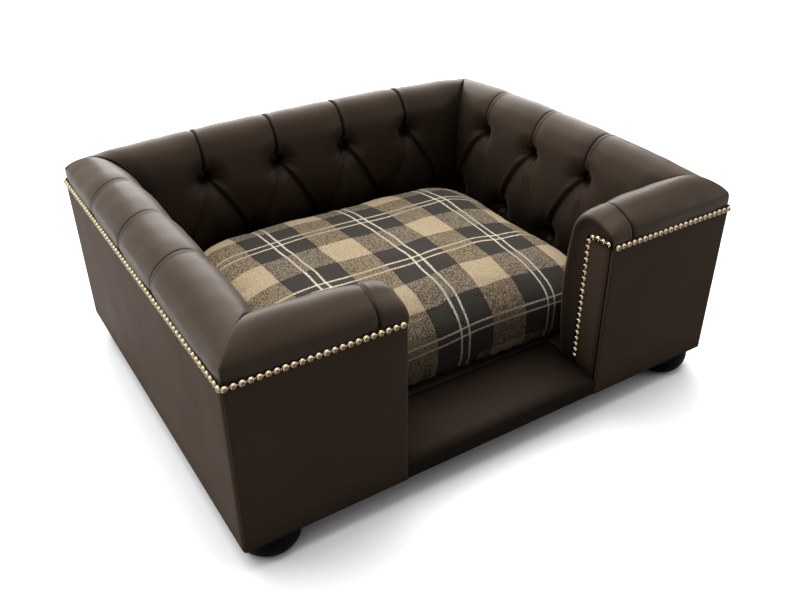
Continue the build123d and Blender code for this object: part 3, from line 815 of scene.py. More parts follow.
def endOutline(points, run):
    # where the pad's edge meets the flat end board, point by point
    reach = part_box("left_jamb_nail_strip")[1].y + halfDepth + 3 * mm
    top = jambTop + 2.5 * mm
    corner = 24 * mm
    path = [(1.5 * mm, nailZ), (3 * mm, top - 2 * mm), (9 * mm, top), (reach - corner, top)]
    path += [(reach - corner + corner * sin, top - corner + corner * cos) for sin, cos in arc(0.2, math.pi / 2, 8)]
    path = np.array(path + [(reach, boardTop)])
    pathRun = runAlong(path)
    split = pastCrest(points, run, nailZ)
    lower = pathRun[-2] + (run - split) / (run[-1] - split) * (pathRun[-1] - pathRun[-2])
    marks = np.where(run < split, run / split * pathRun[-2], lower)
    return np.column_stack([np.interp(marks, pathRun, path[:, k]) for k in range(2)])


def tuftedPad(wall, look):
    points, run, outward = sectionLine(look)
    openEnd, length = wall["openEnd"], wall["length"]
    half = length / 2
    uppers, lowers = wall["buttons"]
    mitre = np.maximum(points[:, 0], look["cornerRound"] * (1 - math.sqrt(0.5)))
    left, right = -half + mitre + look["gap"], half - mitre - look["gap"]
    if openEnd:
        low = min(min(uppers), min(lowers)) - look["margin"]
        high = half - look["endRound"]
    else:
        low, high = min(uppers) - look["margin"], max(uppers) + look["margin"]
    middle = padColumns(low, high, uppers, look)
    fan = np.linspace(0, 1, int((half - abs(low)) / (look["step"] * 1.15)), endpoint=False)
    leftX = left[None, :] + (low - left)[None, :] * fan[:, None]
    middleX = np.repeat(middle[:, None], len(run), axis=1)
    if openEnd:
        # out past the end board a little, and back in to it
        turn = np.linspace(0, 1, 30)[1:]
        reach = np.sin(np.minimum(turn * 1.25, 1) * math.pi / 2) * (look["endRound"] + look["endBulge"])
        reach -= look["endBulge"] * smoothStep(0.72, 1.0, turn)
        rightX = high + reach[:, None] + 0 * run[None, :]
    else:
        fan = np.linspace(0, 1, int((half - high) / (look["step"] * 1.15)) + 1)[1:]
        rightX = high + (right - high)[None, :] * fan[:, None]
    x = np.concatenate([leftX, middleX, rightX])
    s = np.repeat(run[None, :], len(x), axis=0)
    pull = tuftDepth(x, s, run, points, wall, look)

    # the hide is drawn towards the mitred corners, and rolls into their seam
    toLeft = x - left[None, :]
    toCorner = toLeft if openEnd else np.minimum(toLeft, right[None, :] - x)
    rollEnd = pastCrest(points, run, nailZ)
    onRoll = smoothStep(rollEnd + 0.03, rollEnd - 0.02, s)
    pull = pull * smoothStep(0.0, look["cornerReach"], toCorner)
    pull = pull + look["cornerDraw"] * bell(toCorner, look["cornerReach"], 1) * onRoll
    pull = pull + look["cornerSeam"] * bell(toCorner, 0.0016, 1)
    # the roll is fullest in mid-wall and falls a little towards an open end
    crest = run[np.argmax(points[:, 1])]
    onCrest = smoothStep(0, crest * 0.8, s) * smoothStep(rollEnd + 0.01, crest, s)
    if openEnd:
        fullness = -look["endDrop"] * np.clip((x + half) / length, 0, 1) ** 2
    else:
        mid = 1 - np.clip(np.abs(x) / (half - 0.06), 0, 1) ** 2.6
        fullness = wall["crown"] * mid - look["cornerDrop"] * (1 - mid)
    pull = pull - fullness * onCrest
    # nothing moves along the nail line and at the base board
    pull = pull * smoothStep(0.0, 0.006, s) * smoothStep(run[-1], run[-1] - 0.01, s)
    depth = points[None, :, 0] - outward[None, :, 0] * pull
    z = points[None, :, 1] - outward[None, :, 1] * pull
    toSide = x + half if openEnd else half - np.abs(x)
    depth = np.where(s < crest, np.maximum(depth, roundedCorner(toSide, look["cornerRound"])), depth)

    if openEnd:
        # the end of the roll turns down to the flat end board
        u = np.zeros((len(x), 1))
        u[-len(turn):, 0] = np.clip((turn - 0.08) / 0.92, 0, 1)
        close = 1 - np.clip(1 - u ** 1.75, 0, 1) ** (1 / 1.9)
        end = endOutline(points, run)
        depth = depth + (end[None, :, 0] - depth) * close
        z = z + (end[None, :, 1] - z) * close

    # close the section behind the visible face
    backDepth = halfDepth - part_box("back_inner_panel")[0].y
    tailX = np.repeat(x[:, -1:], 2, axis=1)
    tailX[0] = -half + backDepth + look["gap"]
    if not openEnd:
        tailX[-1] = -tailX[0]
    x = np.concatenate([x, tailX], axis=1)
    depth = np.concatenate([depth, np.full((len(x), 2), backDepth)], axis=1)
    z = np.concatenate([z, np.repeat([[boardTop, nailZ]], len(x), axis=0)], axis=1)
    return addMesh(wall["name"] + "Pad", toWorld(wall, x, depth, z).reshape(-1, 3), flipped(tubeFaces(*x.shape)))


pads = [tuftedPad(wall, padLook) for wall in walls]
for wall, pad in zip(walls, pads):
    for piece in dressBoth(pad, hideRoll, wall["node"] + "_pad"):
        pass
print("tufted pads", sum(len(pad.data.polygons) for pad in pads), "faces before mirroring")


buttonLook = {"radius": 10.4 * mm, "rise": 6.4 * mm, "turns": 28, "rings": 8, "pleats": 9, "pleatDepth": 0.018}


def coveredButton(wall, x, height, look, seed):
    # covered button: a domed face whose hide is gathered under the edge
    phase = np.random.default_rng(seed).uniform(0, 6)
    origin, along, inward = wall["place"]
    centre = origin + x * along + padLook["buttonDepth"] * inward + (baseZ + height) * upward
    profile = [(0.80, 0.02), (0.93, 0.0), (1.0, 0.10), (1.0, 0.24), (0.965, 0.40)]
    profile += [(cos, 0.40 + 0.60 * sin) for sin, cos in arc(0.32, 1.5, look["rings"])]
    profile = [(look["radius"] * radius, look["rise"] * rise) for radius, rise in profile]

    def gathered(angle, rise):
        return 1 + look["pleatDepth"] * math.cos(angle * look["pleats"] + phase) * (rise < 0.3 * look["rise"])

    verts, faces = turned(profile, look["turns"], centre, along, upward, inward, gathered)
    return verts, flipped(faces)


for wall in walls:
    parts = []
    for row, places in enumerate(wall["buttons"]):
        for k, x in enumerate(places):
            parts.append(coveredButton(wall, x, padLook["buttonHeights"][row], buttonLook, 100 * row + k))
    buttons = addMesh(wall["name"] + "Buttons", *joinParts(parts))
    dressBoth(buttons, hideButtonPaintedShade, wall["node"] + "_buttons")
print("buttons set")


coverLook = {
    "thickness": 1.2 * mm,
    "cornerRound": 8.0 * mm,
    "endRound": 2.6 * mm,
    "endProud": 2.6 * mm,
    "bottomRound": 4.0 * mm,
    "turnUnder": 22.0 * mm,
    "endHem": (0.8 * mm, 1.6 * mm, 3.2 * mm, 7.0 * mm),  # steps of the hide behind its rounded free end
    "step": 6.0 * mm,
    "puff": 0.5 * mm,
    "ripple": 0.1 * mm,
}


def coverPanel(wall, look):
    # hide over a flat wall: rounded at the upright corners, turned in under the bottom edge
    length, openEnd, seed = wall["length"], wall["openEnd"], wall["seeds"]["cover"]
    half = length / 2
    r = look["cornerRound"]
    corner = arc(math.pi / 4, 0, 6)
    flat = list(np.linspace(-half + r, half - r, int((length - 2 * r) / look["step"])))
    xs = [-half + r * (1 - sin) for sin, _ in corner] + flat[1:-1]
    ds = [r * (1 - cos) for _, cos in corner] + [0.0] * (len(flat) - 2)
    if openEnd:
        # the free end wraps fully round towards the end board
        e = look["endRound"]
        end = half + look["endProud"]
        wrap = quarter(8)
        xs += [end - e + e * sin for sin, _ in wrap] + [end - 0.5 * mm] + [half - 0.4 * mm] * 3
        ds += [e * (1 - cos) for _, cos in wrap] + [e + v for v in look["endHem"]]
    else:
        xs += [half - r * (1 - sin) for sin, _ in reversed(corner)]
        ds += [r * (1 - cos) for _, cos in reversed(corner)]
    b = look["bottomRound"]
    zs = list(np.linspace(nailZ, baseZ + b, int((nailZ - baseZ) / look["step"])))
    inward = [0.0] * len(zs)
    for sin, cos in quarter(7)[1:]:
        zs.append(baseZ + b - b * sin)
        inward.append(b * (1 - cos))
    for reach in np.linspace(b, look["turnUnder"], 4)[1:]:
        zs.append(baseZ)
        inward.append(reach)
    x, z = np.meshgrid(xs, zs, indexing="ij")
    depth = np.maximum(*np.meshgrid(ds, inward, indexing="ij"))
    # under the bed the flap's ends are trimmed at forty-five degrees
    under = np.clip(np.array(inward) - b, 0, None)[None, :]
    limitLow = -half + under + r
    x = np.where(under > 0, np.maximum(x, limitLow), x)
    if not openEnd:
        x = np.where(under > 0, np.minimum(x, -limitLow), x)
    wave = softNoise(x, z, 0.16, seed) * look["puff"] * 0.5 + softNoise(x, z, 0.05, seed + 3) * look["ripple"]
    calm = smoothStep(0, 0.03, half - np.abs(x)) * smoothStep(nailZ, nailZ - 0.03, z)
    depth = depth + np.clip(wave, -0.4 * mm, 0.4 * mm) * calm * smoothStep(baseZ, baseZ + 0.03, z)
    return addMesh(wall["name"] + "Cover", *closedSheet(toWorld(wall, x, depth, z)[::-1], look["thickness"]))


jambLook = {
    "thickness": 4.4 * mm,
    "proud": 3.0 * mm,
    "bevel": 2.6 * mm,
    "gap": 5.0 * mm,
    "corner": 22.0 * mm,
    "width": 60.0 * mm,
    "swell": 0.4 * mm,
}


def jambPanel(look):
    # flat end board of the front return, its hide pulled over a rounded top corner
    y0 = -halfDepth + coverLook["endRound"] + look["gap"]
    y1 = -halfDepth + look["width"]
    top, c, b = jambTop, look["corner"], look["bevel"]
    outline = [(y0, boardTop), (y0, nailZ + 1 * mm), (y0 + 3 * mm, top - 1 * mm), (y0 + 7 * mm, top)]
    outline += [(y1 - c + c * sin, top - c + c * cos) for sin, cos in quarter(9)]
    outline += [(y1, z) for z in np.linspace(top - c, boardTop, 24)[1:]]
    outline += [(y, boardTop) for y in np.linspace(y1, y0, 8)[1:-1]]
    outline = np.array(outline)
    middle = outline.mean(0)
    inward = middle - outline
    inwardDir = inward / np.linalg.norm(inward, axis=1, keepdims=True)
    # rings from the back edge round the bevel and over the face, which swells a little
    rings = [(outline + inwardDir * inset, -behind)
             for inset, behind in ((0, look["thickness"]), (0, b), (b * 0.3, b * 0.3), (b, 0.0))]
    rings += [(outline + inward * share, look["swell"] * share) for share in (0.25, 0.5, 0.75)]
    face = -openingHalf + look["proud"]
    verts = [(face + rise, y, z) for ring, rise in rings for y, z in ring]
    verts.append((face + look["swell"], *middle))
    n = len(outline)
    last = (len(rings) - 1) * n
    faces = gridFaces(len(rings), n, wrapCols=True)
    faces += [(last + k, last + (k + 1) % n, len(verts) - 1) for k in range(n)]
    faces.append(tuple(reversed(range(n))))
    return addMesh("leftJambPanel", verts, faces)


covers = [(coverPanel(wall, coverLook), wall["node"] + "_outer_cover") for wall in walls]
for cover, cadNode in covers + [(jambPanel(jambLook), "front_left_outer_cover")]:
    fixNormals(cover)
    dressBoth(cover, hideCover, cadNode)
print("outer covers made")


nailLook = {
    "pitch": 11.6 * mm,
    "radius": 5.1 * mm,
    "rise": 3.9 * mm,
    "turns": 16,
    "every": 5,  # one of so many is a separate nail
    "nailScale": 1.08,
    "link": 2.6 * mm,  # neck between two beads: width and height
    "linkRise": 0.9 * mm,
    "proud": 0.5 * mm,
    "cornerGap": 4.5 * mm,
    "jambInset": 5.0 * mm,
}


def nailDome(place, tangent, outward, look, scale):
    # one bead: a thin flange and a high dome
    profile = [(0.98, 0.0), (1.0, 0.08), (0.95, 0.17)]
    profile += [(0.90 * cos, 0.17 + 0.83 * sin) for sin, cos in arc(0.10, 1.48, 7)]
    profile = [(look["radius"] * scale * radius, look["rise"] * scale * rise) for radius, rise in profile]
    return turned(profile, look["turns"], place, tangent, np.cross(outward, tangent), outward)


def linkBar(a, b, outward, look):
    # the short neck between two beads
    tangent = (b - a) / np.linalg.norm(b - a)
    side = np.cross(outward, tangent)
    h, w = look["linkRise"], look["link"] / 2
    outline = [(-w, 0), (-w, h * 0.7), (-w * 0.5, h * 1.2), (w * 0.5, h * 1.2), (w, h * 0.7), (w, 0)]
    verts = [end + side * across + outward * rise for end in (a, b) for across, rise in outline]
    return verts, tubeFaces(2, len(outline))


def nailStrip(places, outward, look):
    # beads in a row, joined by their necks; every fifth is a separate nail
    beads, pins = [], []
    for k, place in enumerate(places):
        ahead = places[min(k + 1, len(places) - 1)] - places[max(k - 1, 0)]
        tangent = ahead / np.linalg.norm(ahead)
        isPin = k % look["every"] == look["every"] // 2
        scale = look["nailScale"] if isPin else 1.0
        (pins if isPin else beads).append(nailDome(place, tangent, outward, look, scale))
        if k + 1 < len(places):
            beads.append(linkBar(place, places[k + 1], outward, look))
    return beads, pins


def stripAlong(wall, look):
    origin, along, inward = wall["place"]
    reach = wall["length"] / 2 - look["cornerGap"]
    xs = np.linspace(-reach, reach, int(round(2 * reach / look["pitch"])) + 1)
    return [origin + x * along - inward * look["proud"] + np.array((0, 0, nailZ)) for x in xs], -inward


def stripJamb(look):
    # over the top of the end board and down its inner edge to the step
    top = jambTop - look["jambInset"]
    inner = -halfDepth + jambLook["width"] - look["jambInset"]
    radius = jambLook["corner"] - look["jambInset"]
    keys = [(-halfDepth + 8 * mm, top)] + [(y, top) for y in np.linspace(-halfDepth + 15 * mm, inner - radius, 3)]
    keys += [(inner - radius + radius * sin, top - radius + radius * cos) for sin, cos in quarter(6)[1:]]
    keys += [(inner, z) for z in np.linspace(top - radius, sillHigh.z + 4 * mm, 6)[1:]]
    line, run = curvePoints(keys, 0.5 * mm)
    marks = (np.arange(int(run[-1] / look["pitch"] + 0.6)) + 0.4) * look["pitch"]
    face = -openingHalf + jambLook["proud"]
    places = [np.array((face, *(np.interp(mark, run, line[:, k]) for k in range(2)))) for mark in marks]
    return places, np.array((1.0, 0, 0))


strips = [(wall["name"] + "NailStrip", wall["node"] + "_nail_strip", stripAlong(wall, nailLook)) for wall in walls]
strips.append(("leftJambNailStrip", "left_jamb_nail_strip", stripJamb(nailLook)))
pinParts = []
for name, cadNode, run in strips:
    beads, pins = nailStrip(*run, nailLook)
    strip = addMesh(name, *joinParts(beads))
    fixNormals(strip)
    pinParts += pins
    if len(dressBoth(strip, brass, cadNode)) == 2:
        pinParts += [([np.array(v) * (-1.0, 1, 1) for v in verts], flipped(faces)) for verts, faces in pins]
stripNails = addMesh("stripNails", *joinParts(pinParts))
fixNormals(stripNails)
dress(stripNails, brass, replaced=["strip_nails"])
print("nail strips set")


footLook = {"radius": 49.0 * mm, "base": 27.0 * mm, "top": 44.0 * mm, "waistShare": 0.31, "turns": 72}


def bunFoot(name, cadNode, look):
    # turned bun with a soft lower bevel and a fine groove near its top
    low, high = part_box(cadNode)
    centre = (low + high) / 2
    height = high.z - low.z
    waist = height * (1 - look["waistShare"])
    radius, base, top = look["radius"], look["base"], look["top"]
    startRadius, startHeight = base + 1.5 * mm, 0.5 * mm
    profile = [(base * 0.6, 0.0), (base, 0.0), (startRadius, startHeight)]
    profile += [(startRadius + (radius - startRadius) * sin, startHeight + (waist - startHeight) * (1 - cos))
                for sin, cos in quarter(12)[1:]]
    profile += [(top + (radius - top) * cos, waist + (height - waist - 3 * mm) * sin)
                for sin, cos in arc(0, 1.25, 7)[1:]]
    profile += [(top - 0.4 * mm, height - 2.2 * mm), (top + 0.6 * mm, height - 1.5 * mm),
                (top + 0.3 * mm, height), (top * 0.5, height)]
    floorPlace = np.array((centre.x, centre.y, low.z))
    sideways, forwards = np.array((1.0, 0, 0)), np.array((0, 1.0, 0))
    foot = addMesh(name, *turned(profile, look["turns"], floorPlace, sideways, forwards, upward))
    dress(foot, footBlack, replaced=[cadNode])


for row in ("front", "back"):
    for side in ("left", "right"):
        bunFoot(row + side.title() + "Foot", row + "_" + side + "_foot", footLook)
print("feet made")


sillLook = {
    "round": 15.0 * mm,
    "bottom": 4.0 * mm,
    "turnUnder": 22.0 * mm,
    "crown": 1.6 * mm,
    "endDrop": 2.0 * mm,
    "pinch": 1.2 * mm,
    "wave": 0.5 * mm,
    "step": 4.0 * mm,
}


def sillStep(look):
    # padded step: hide over foam, its top a little crowned, its front rolled over and turned under
    front, back, top = sillLow.y, sillHigh.y, sillHigh.z
    r, b = look["round"], look["bottom"]
    line = [(back, boardTop)] + [(y, top) for y in np.linspace(back, front + r, 26)]
    line += [(front + r - r * sin, top - r + r * cos) for sin, cos in quarter(10)[1:]]
    line += [(front, z) for z in np.linspace(top - r, baseZ + b, 6)[1:]]
    line += [(front + b - b * cos, baseZ + b - b * sin) for sin, cos in quarter(6)[1:]]
    line = np.array(line + [(front + look["turnUnder"], baseZ)])
    half = sillHigh.x
    xs = np.linspace(-half, half, int(2 * half / look["step"]))
    x, y = np.meshgrid(xs, line[:, 0], indexing="ij")
    z = np.repeat(line[None, :, 1], len(xs), axis=0)
    # crowned and a little wavy on top; pinched where it tucks in behind the end boards
    toEnd = half - np.abs(x)
    onTop = smoothStep(top - r, top - 1 * mm, z)
    ends = smoothStep(0, 0.022, toEnd)
    sag = softNoise(x, y, 0.11, 71) * look["wave"] * ends
    rear = smoothStep(0.05, 0.0, back - y)
    z = z + onTop * (sag - (1 - ends) * (1 - rear) * look["endDrop"]
                     - look["crown"] * (1 - smoothStep(0, 0.03, y - front - r * 0.4)))
    y = y + (1 - onTop) * bell(toEnd, 0.008, 1) * look["pinch"] * (z > baseZ + 2 * mm)
    step = addMesh("sillPad", np.stack([x, y, z], axis=2).reshape(-1, 3), tubeFaces(*x.shape))
    fixNormals(step)
    return step


sill = sillStep(sillLook)
dress(sill, hideStepPaintedShade, replaced=["sill_pad"])
print("step made")


def sheetOver(cadNode, step, wave, seed):
    # grid over a flat layer, with slow waves that fade towards its rim
    low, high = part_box(cadNode)
    xs = np.linspace(low.x, high.x, int((high.x - low.x) / step))
    ys = np.linspace(low.y, high.y, int((high.y - low.y) / step))
    x, y = np.meshgrid(xs, ys, indexing="ij")
    rim = np.minimum(np.minimum(x - low.x, high.x - x), np.minimum(y - low.y, high.y - y))
    return x, y, np.minimum(0, softNoise(x, y, 0.14, seed) * wave * smoothStep(0, 0.03, rim)), low, high


def notchedSlab(cadNode, name, gap, wave, seed):
    # floor layer between the walls, cut back round the padded step
    x, y, lift, low, high = sheetOver(cadNode, 12 * mm, wave, seed)
    notchX, notchY = openingHalf + gap, sillHigh.y + gap
    # grid lines are moved onto the notch so that its edges are straight
    xs, ys = x[:, 0].copy(), y[0].copy()
    for target in (-notchX, notchX):
        xs[np.argmin(np.abs(xs - target))] = target
    ys[np.argmin(np.abs(ys - notchY))] = notchY
    cx, cy = np.meshgrid((xs[:-1] + xs[1:]) / 2, (ys[:-1] + ys[1:]) / 2, indexing="ij")
    keep = np.pad(~((np.abs(cx) < notchX) & (cy < notchY)), 1)
    verts, faces, index = [], [], {}

    def vertex(i, j, upper):
        if (i, j, upper) not in index:
            index[i, j, upper] = len(verts)
            verts.append((xs[i], ys[j], high.z + lift[i, j] if upper else low.z))
        return index[i, j, upper]

    # each cell has a top and a bottom, and a side wherever no cell adjoins
    sides = {(-1, 0): ((0, 1), (0, 0)), (1, 0): ((1, 0), (1, 1)), (0, -1): ((0, 0), (1, 0)), (0, 1): ((1, 1), (0, 1))}
    for i, j in np.argwhere(keep[1:-1, 1:-1]).tolist():
        corners = [(i, j), (i + 1, j), (i + 1, j + 1), (i, j + 1)]
        faces.append(tuple(vertex(*corner, 1) for corner in corners))
        faces.append(tuple(vertex(*corner, 0) for corner in (corners[0], *corners[:0:-1])))
        for (di, dj), (a, b) in sides.items():
            if not keep[i + 1 + di, j + 1 + dj]:
                a, b = (i + a[0], j + a[1]), (i + b[0], j + b[1])
                faces.append((vertex(*a, 1), vertex(*a, 0), vertex(*b, 0), vertex(*b, 1)))
    slab = addMesh(name, verts, faces, smooth=False)
    fixNormals(slab)
    return slab


deckCloth = notchedSlab("deck_cloth", "deckCloth", 0.3 * mm, 0.25 * mm, 81)
dress(deckCloth, liningClothPaintedShade, replaced=["deck_cloth"])
deckFoam = notchedSlab("deck_foam", "deckFoam", 2.5 * mm, 0.0, 82)
dress(deckFoam, foamBlock, replaced=["deck_foam"])

x, y, lift, dustLow, dustHigh = sheetOver("dust_cover", 10 * mm, 0.5 * mm, 83)
dustGrid = np.stack([x, y, dustHigh.z - 0.1 * mm + lift], axis=2)
dustCover = addMesh("dustCover", *closedSheet(dustGrid, 0.5 * mm))
fixNormals(dustCover)
dress(dustCover, dustCloth, replaced=["dust_cover"])
print("floor layers made")


cushionLook = {
    "voxel": 6.0 * mm,
    "shrink": 4.0 * mm,
    "cap": 7.0 * mm,
    "pressure": 4.0,
    "corner": 6.0,
    # height above the sole as a share, and how far the outline lies inside the widest one, mm
    "levels": [
        (0.0, 24), (0.012, 13), (0.04, 6), (0.085, 3), (0.16, 1), (0.30, 0), (0.50, 0.5), (0.61, 4), (0.70, 10),
        (0.785, 22), (0.86, 42), (0.915, 68), (0.955, 102), (0.982, 145), (0.996, 190), (1.0, 225),
    ],
    "turns": 160,
    "sideDraw": 4.5 * mm,
    "seamHeight": 10.0 * mm,
    "seamPinch": 3.0 * mm,
    "flange": 3.52 * mm,
    "gather": 1.2 * mm,
    "gatherPitch": 31.0 * mm,
    "waves": (1.3 * mm, 0.6 * mm),  # slow and quick, in the top
    "lean": (-0.018, 0.008),  # the filling lies higher at the back left
    "frontSkew": 0.030,
}
clothSettings = {
    "quality": 4,
    "mass": 0.25,
    "tension_stiffness": 12,
    "compression_stiffness": 6,
    "shear_stiffness": 5,
    "bending_stiffness": 0.4,
    "use_pressure": True,
    "uniform_pressure_force": cushionLook["pressure"],
}
cushionLow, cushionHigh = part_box("cushion_cover")
cushionCentre = (cushionLow + cushionHigh) / 2
cushionHalf = ((cushionHigh.x - cushionLow.x) / 2, (cushionHigh.y - cushionLow.y) / 2)


def cushionBlank(look, name):
    # crowned form with upright sides that pull in between the corners
    low, high = cushionLow.z, cushionHigh.z
    turns, power = look["turns"], look["corner"]
    angle = 2 * math.pi * (np.arange(turns) + 0.5) / turns
    ca, sa = np.cos(angle), np.sin(angle)
    verts = []
    for share, inset in look["levels"]:
        bx, by = (half - look["shrink"] - inset * mm for half in cushionHalf)
        reach = (np.abs(ca / bx) ** power + np.abs(sa / by) ** power) ** (-1 / power)
        px, py = reach * ca, reach * sa
        onEnd = np.abs(ca) * by > np.abs(sa) * bx
        onFront = ~onEnd & ~(py > 0)
        pullX = look["sideDraw"] * np.cos(np.abs(py) / by * math.pi / 2) ** 2 * onEnd
        pullY = look["sideDraw"] * np.cos(np.abs(px) / bx * math.pi / 2) ** 2 * onFront
        px, py = px - np.sign(px) * pullX, py - np.sign(py) * pullY
        z = np.full(turns, low + share * (high - low))
        verts += np.column_stack([cushionCentre.x + px, cushionCentre.y + py, z]).tolist()
    return addMesh(name, verts, tubeFaces(len(look["levels"]), turns))


def runCushionCloth(blank, look):
    # the cover is blown up by its filling, and no point may move further than the cap
    rest = meshPoints(blank)
    cloth = blank.modifiers.new("cover", "CLOTH")
    setAll(cloth.settings, clothSettings)
    cloth.settings.effector_weights.gravity = 0
    cloth.collision_settings.use_collision = False
    cloth.collision_settings.use_self_collision = False
    scene = bpy.context.scene
    for frameNumber in range(1, 21):
        scene.frame_set(frameNumber)
    step = meshPoints(blank.evaluated_get(bpy.context.evaluated_depsgraph_get())) - rest
    blank.modifiers.remove(cloth)
    scene.frame_set(1)
    length = np.linalg.norm(step, axis=1, keepdims=True)
    movePoints(blank, rest + step * (look["cap"] * np.tanh(length / look["cap"]) / np.maximum(length, 1e-9)))


def roundTheCushion(co, power):
    # places from the cushion's middle, and the way outwards at each, nearly square to the nearest side
    x, y = co[:, 0] - cushionCentre.x, co[:, 1] - cushionCentre.y
    hx, hy = cushionHalf
    nx, ny = np.sign(x) * (np.abs(x) / hx) ** power, np.sign(y) * (np.abs(y) / hy) ** power
    size = np.hypot(nx, ny) + 1e-9
    return x, y, nx / size, ny / size, np.maximum(np.abs(x) / hx, np.abs(y) / hy)


def sewCushion(co, look):
    # the bottom seam nips the cover in, small gathers run up and down from it
    x, y, nx, ny, toRim = roundTheCushion(co, 7)
    z = co[:, 2]  # goes with the moves below
    hy = cushionHalf[1]
    onSide = smoothStep(0.80, 0.93, toRim)
    seamZ = cushionLow.z + look["seamHeight"]
    off = z - seamZ
    pinch = look["seamPinch"] * bell(off, 0.010)
    flange = look["flange"] * bell(off, 0.0022)
    edgeRun = x * ny - y * nx
    wander = 2 * softNoise(edgeRun, edgeRun * 0, 0.2, 5)
    gathers = look["gather"] * np.sin(edgeRun * 2 * math.pi / look["gatherPitch"] + wander)
    gathers *= bell(np.abs(off), 0.016, 1)
    back = smoothStep(hy * 0.9, hy * 0.97, y) * smoothStep(0.23, 0.19, np.abs(x)) * (z < seamZ + 0.05)
    move = (pinch - flange + gathers) * onSide * (1 - back)
    co[:, 0] -= nx * move
    co[:, 1] -= ny * move
    # slow waves in the top and a lean, where the filling lies unevenly; the front bulges to one side
    slow, quick = look["waves"]
    top = smoothStep(cushionHigh.z - 0.055, cushionHigh.z - 0.010, z)
    co[:, 2] += top * (slow * softNoise(x, y, 0.16, 61) + quick * softNoise(x, y, 0.06, 62))
    co[:, 2] += smoothStep(cushionLow.z + 0.05, cushionHigh.z, z) * (look["lean"][0] * x + look["lean"][1] * y)
    co[:, 1] -= look["frontSkew"] * x * smoothStep(-0.55 * hy, -0.95 * hy, y)
    # the zipped back is drawn straight over the tape
    zipLow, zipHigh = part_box("cushion_zip")
    flat = smoothStep(0.014, 0.004, np.abs(z - (zipLow.z + zipHigh.z) / 2) - 0.009)
    flat *= smoothStep(zipHigh.x + 0.02, zipHigh.x + 0.004, np.abs(x)) * (y > 0.8 * hy)
    co[:, 1] += (zipHigh.y - 0.4 * mm - co[:, 1]) * flat


clothPlace = {  # how the cut cloth lies on the cushion
    "offset": (-0.103, -0.010),  # where the light bands lie
    "frontTuck": 0.010,  # pulled down over the front
    "drop": 0.048,  # below the crown, where the sides begin
    "slow": (3.6 * mm, 0.33),  # unevenness and its length
    "quick": (1.2 * mm, 0.09),
}


def laidWeave(co, look):
    # where each point of the cover lies on the uncut cloth: flat on top, and down over the edges
    x, y, nx, ny, toRim = roundTheCushion(co, 9)
    hy = cushionHalf[1]
    down = np.clip(cushionHigh.z - look["drop"] - co[:, 2], 0, None) * smoothStep(0.78, 0.97, toRim)
    u, v = x + nx * down, y + ny * down
    v -= look["frontTuck"] * smoothStep(-0.55 * hy, -0.97 * hy, y)
    (slow, slowSize), (quick, quickSize) = look["slow"], look["quick"]
    u = u + slow * softNoise(x, y, slowSize, 91) + quick * softNoise(x, y, quickSize, 92)
    v = v + slow * softNoise(x, y, slowSize, 93) + quick * softNoise(x, y, quickSize, 94)
    start = 10 * tartanLook["repeat"]  # keeps the coordinates above nought
    return np.column_stack([u + look["offset"][0] + start, v + look["offset"][1] + start, np.zeros(len(u))])


cushionCover = cushionBlank(cushionLook, "cushionCover")
applyModifier(cushionCover, "REMESH", mode="VOXEL", voxel_size=cushionLook["voxel"])
runCushionCloth(cushionCover, cushionLook)
points = meshPoints(cushionCover)
points[:, 2] = np.maximum(points[:, 2], cushionLow.z + 0.3 * mm)  # the sole stays flat on the deck
movePoints(cushionCover, points)
applyModifier(cushionCover, "SUBSURF", levels=1)
points = meshPoints(cushionCover)
print("cushion shaped", len(points), "points")
sewCushion(points, cushionLook)
movePoints(cushionCover, points)
layer = cushionCover.data.attributes.new("weave", "FLOAT_VECTOR", "POINT")
layer.data.foreach_set("vector", laidWeave(points, clothPlace).astype(np.float32).ravel())
cushionCover.data.polygons.foreach_set("use_smooth", [True] * len(cushionCover.data.polygons))
dress(cushionCover, tartan, "cushion", ["cushion_cover"])

# loose filling inside the cover, smaller and flatter than it
fillingLook = {**cushionLook, "shrink": 27 * mm, "flatten": 0.88, "lift": 5 * mm}
filling = cushionBlank(fillingLook, "cushionFill")
points = meshPoints(filling)
points[:, 2] = cushionLow.z + fillingLook["lift"] + (points[:, 2] - cushionLow.z) * fillingLook["flatten"]
movePoints(filling, points)
dress(filling, fibreFill, "cushion", ["cushion_fill"])

zipLook = {"pitch": 2.4 * mm, "tooth": (0.8 * mm, 0.35 * mm, 2.2 * mm), "tape": 0.6 * mm, "endGap": 4 * mm}


def zipTapePiece(look):
    # woven tape with its row of coil teeth
    low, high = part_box("cushion_zip")
    face = high.y - 0.3 * mm
    xs = np.linspace(low.x + 1 * mm, high.x - 1 * mm, 90)
    x, z = np.meshgrid(xs, np.linspace(low.z + 0.6 * mm, high.z - 0.6 * mm, 7), indexing="ij")
    parts = [closedSheet(np.stack([x, np.full(x.shape, face), z], axis=2), -look["tape"])]
    middle = (low.z + high.z) / 2
    w, t, h = look["tooth"]
    for x in np.arange(low.x + look["endGap"], high.x - look["endGap"], look["pitch"]):
        verts = [(x + sx * w * (0.6 if sy else 1), face + sy * t, middle + sz * h)
                 for sy in (0, 1) for sx, sz in ((-1, -1), (1, -1), (1, 1), (-1, 1))]
        parts.append((verts, tubeFaces(2, 4)))
    tape = addMesh("cushionZip", *joinParts(parts), smooth=False)
    fixNormals(tape)
    return tape


dress(zipTapePiece(zipLook), zipTape, "cushion", ["cushion_zip"])
print("cushion sewn")


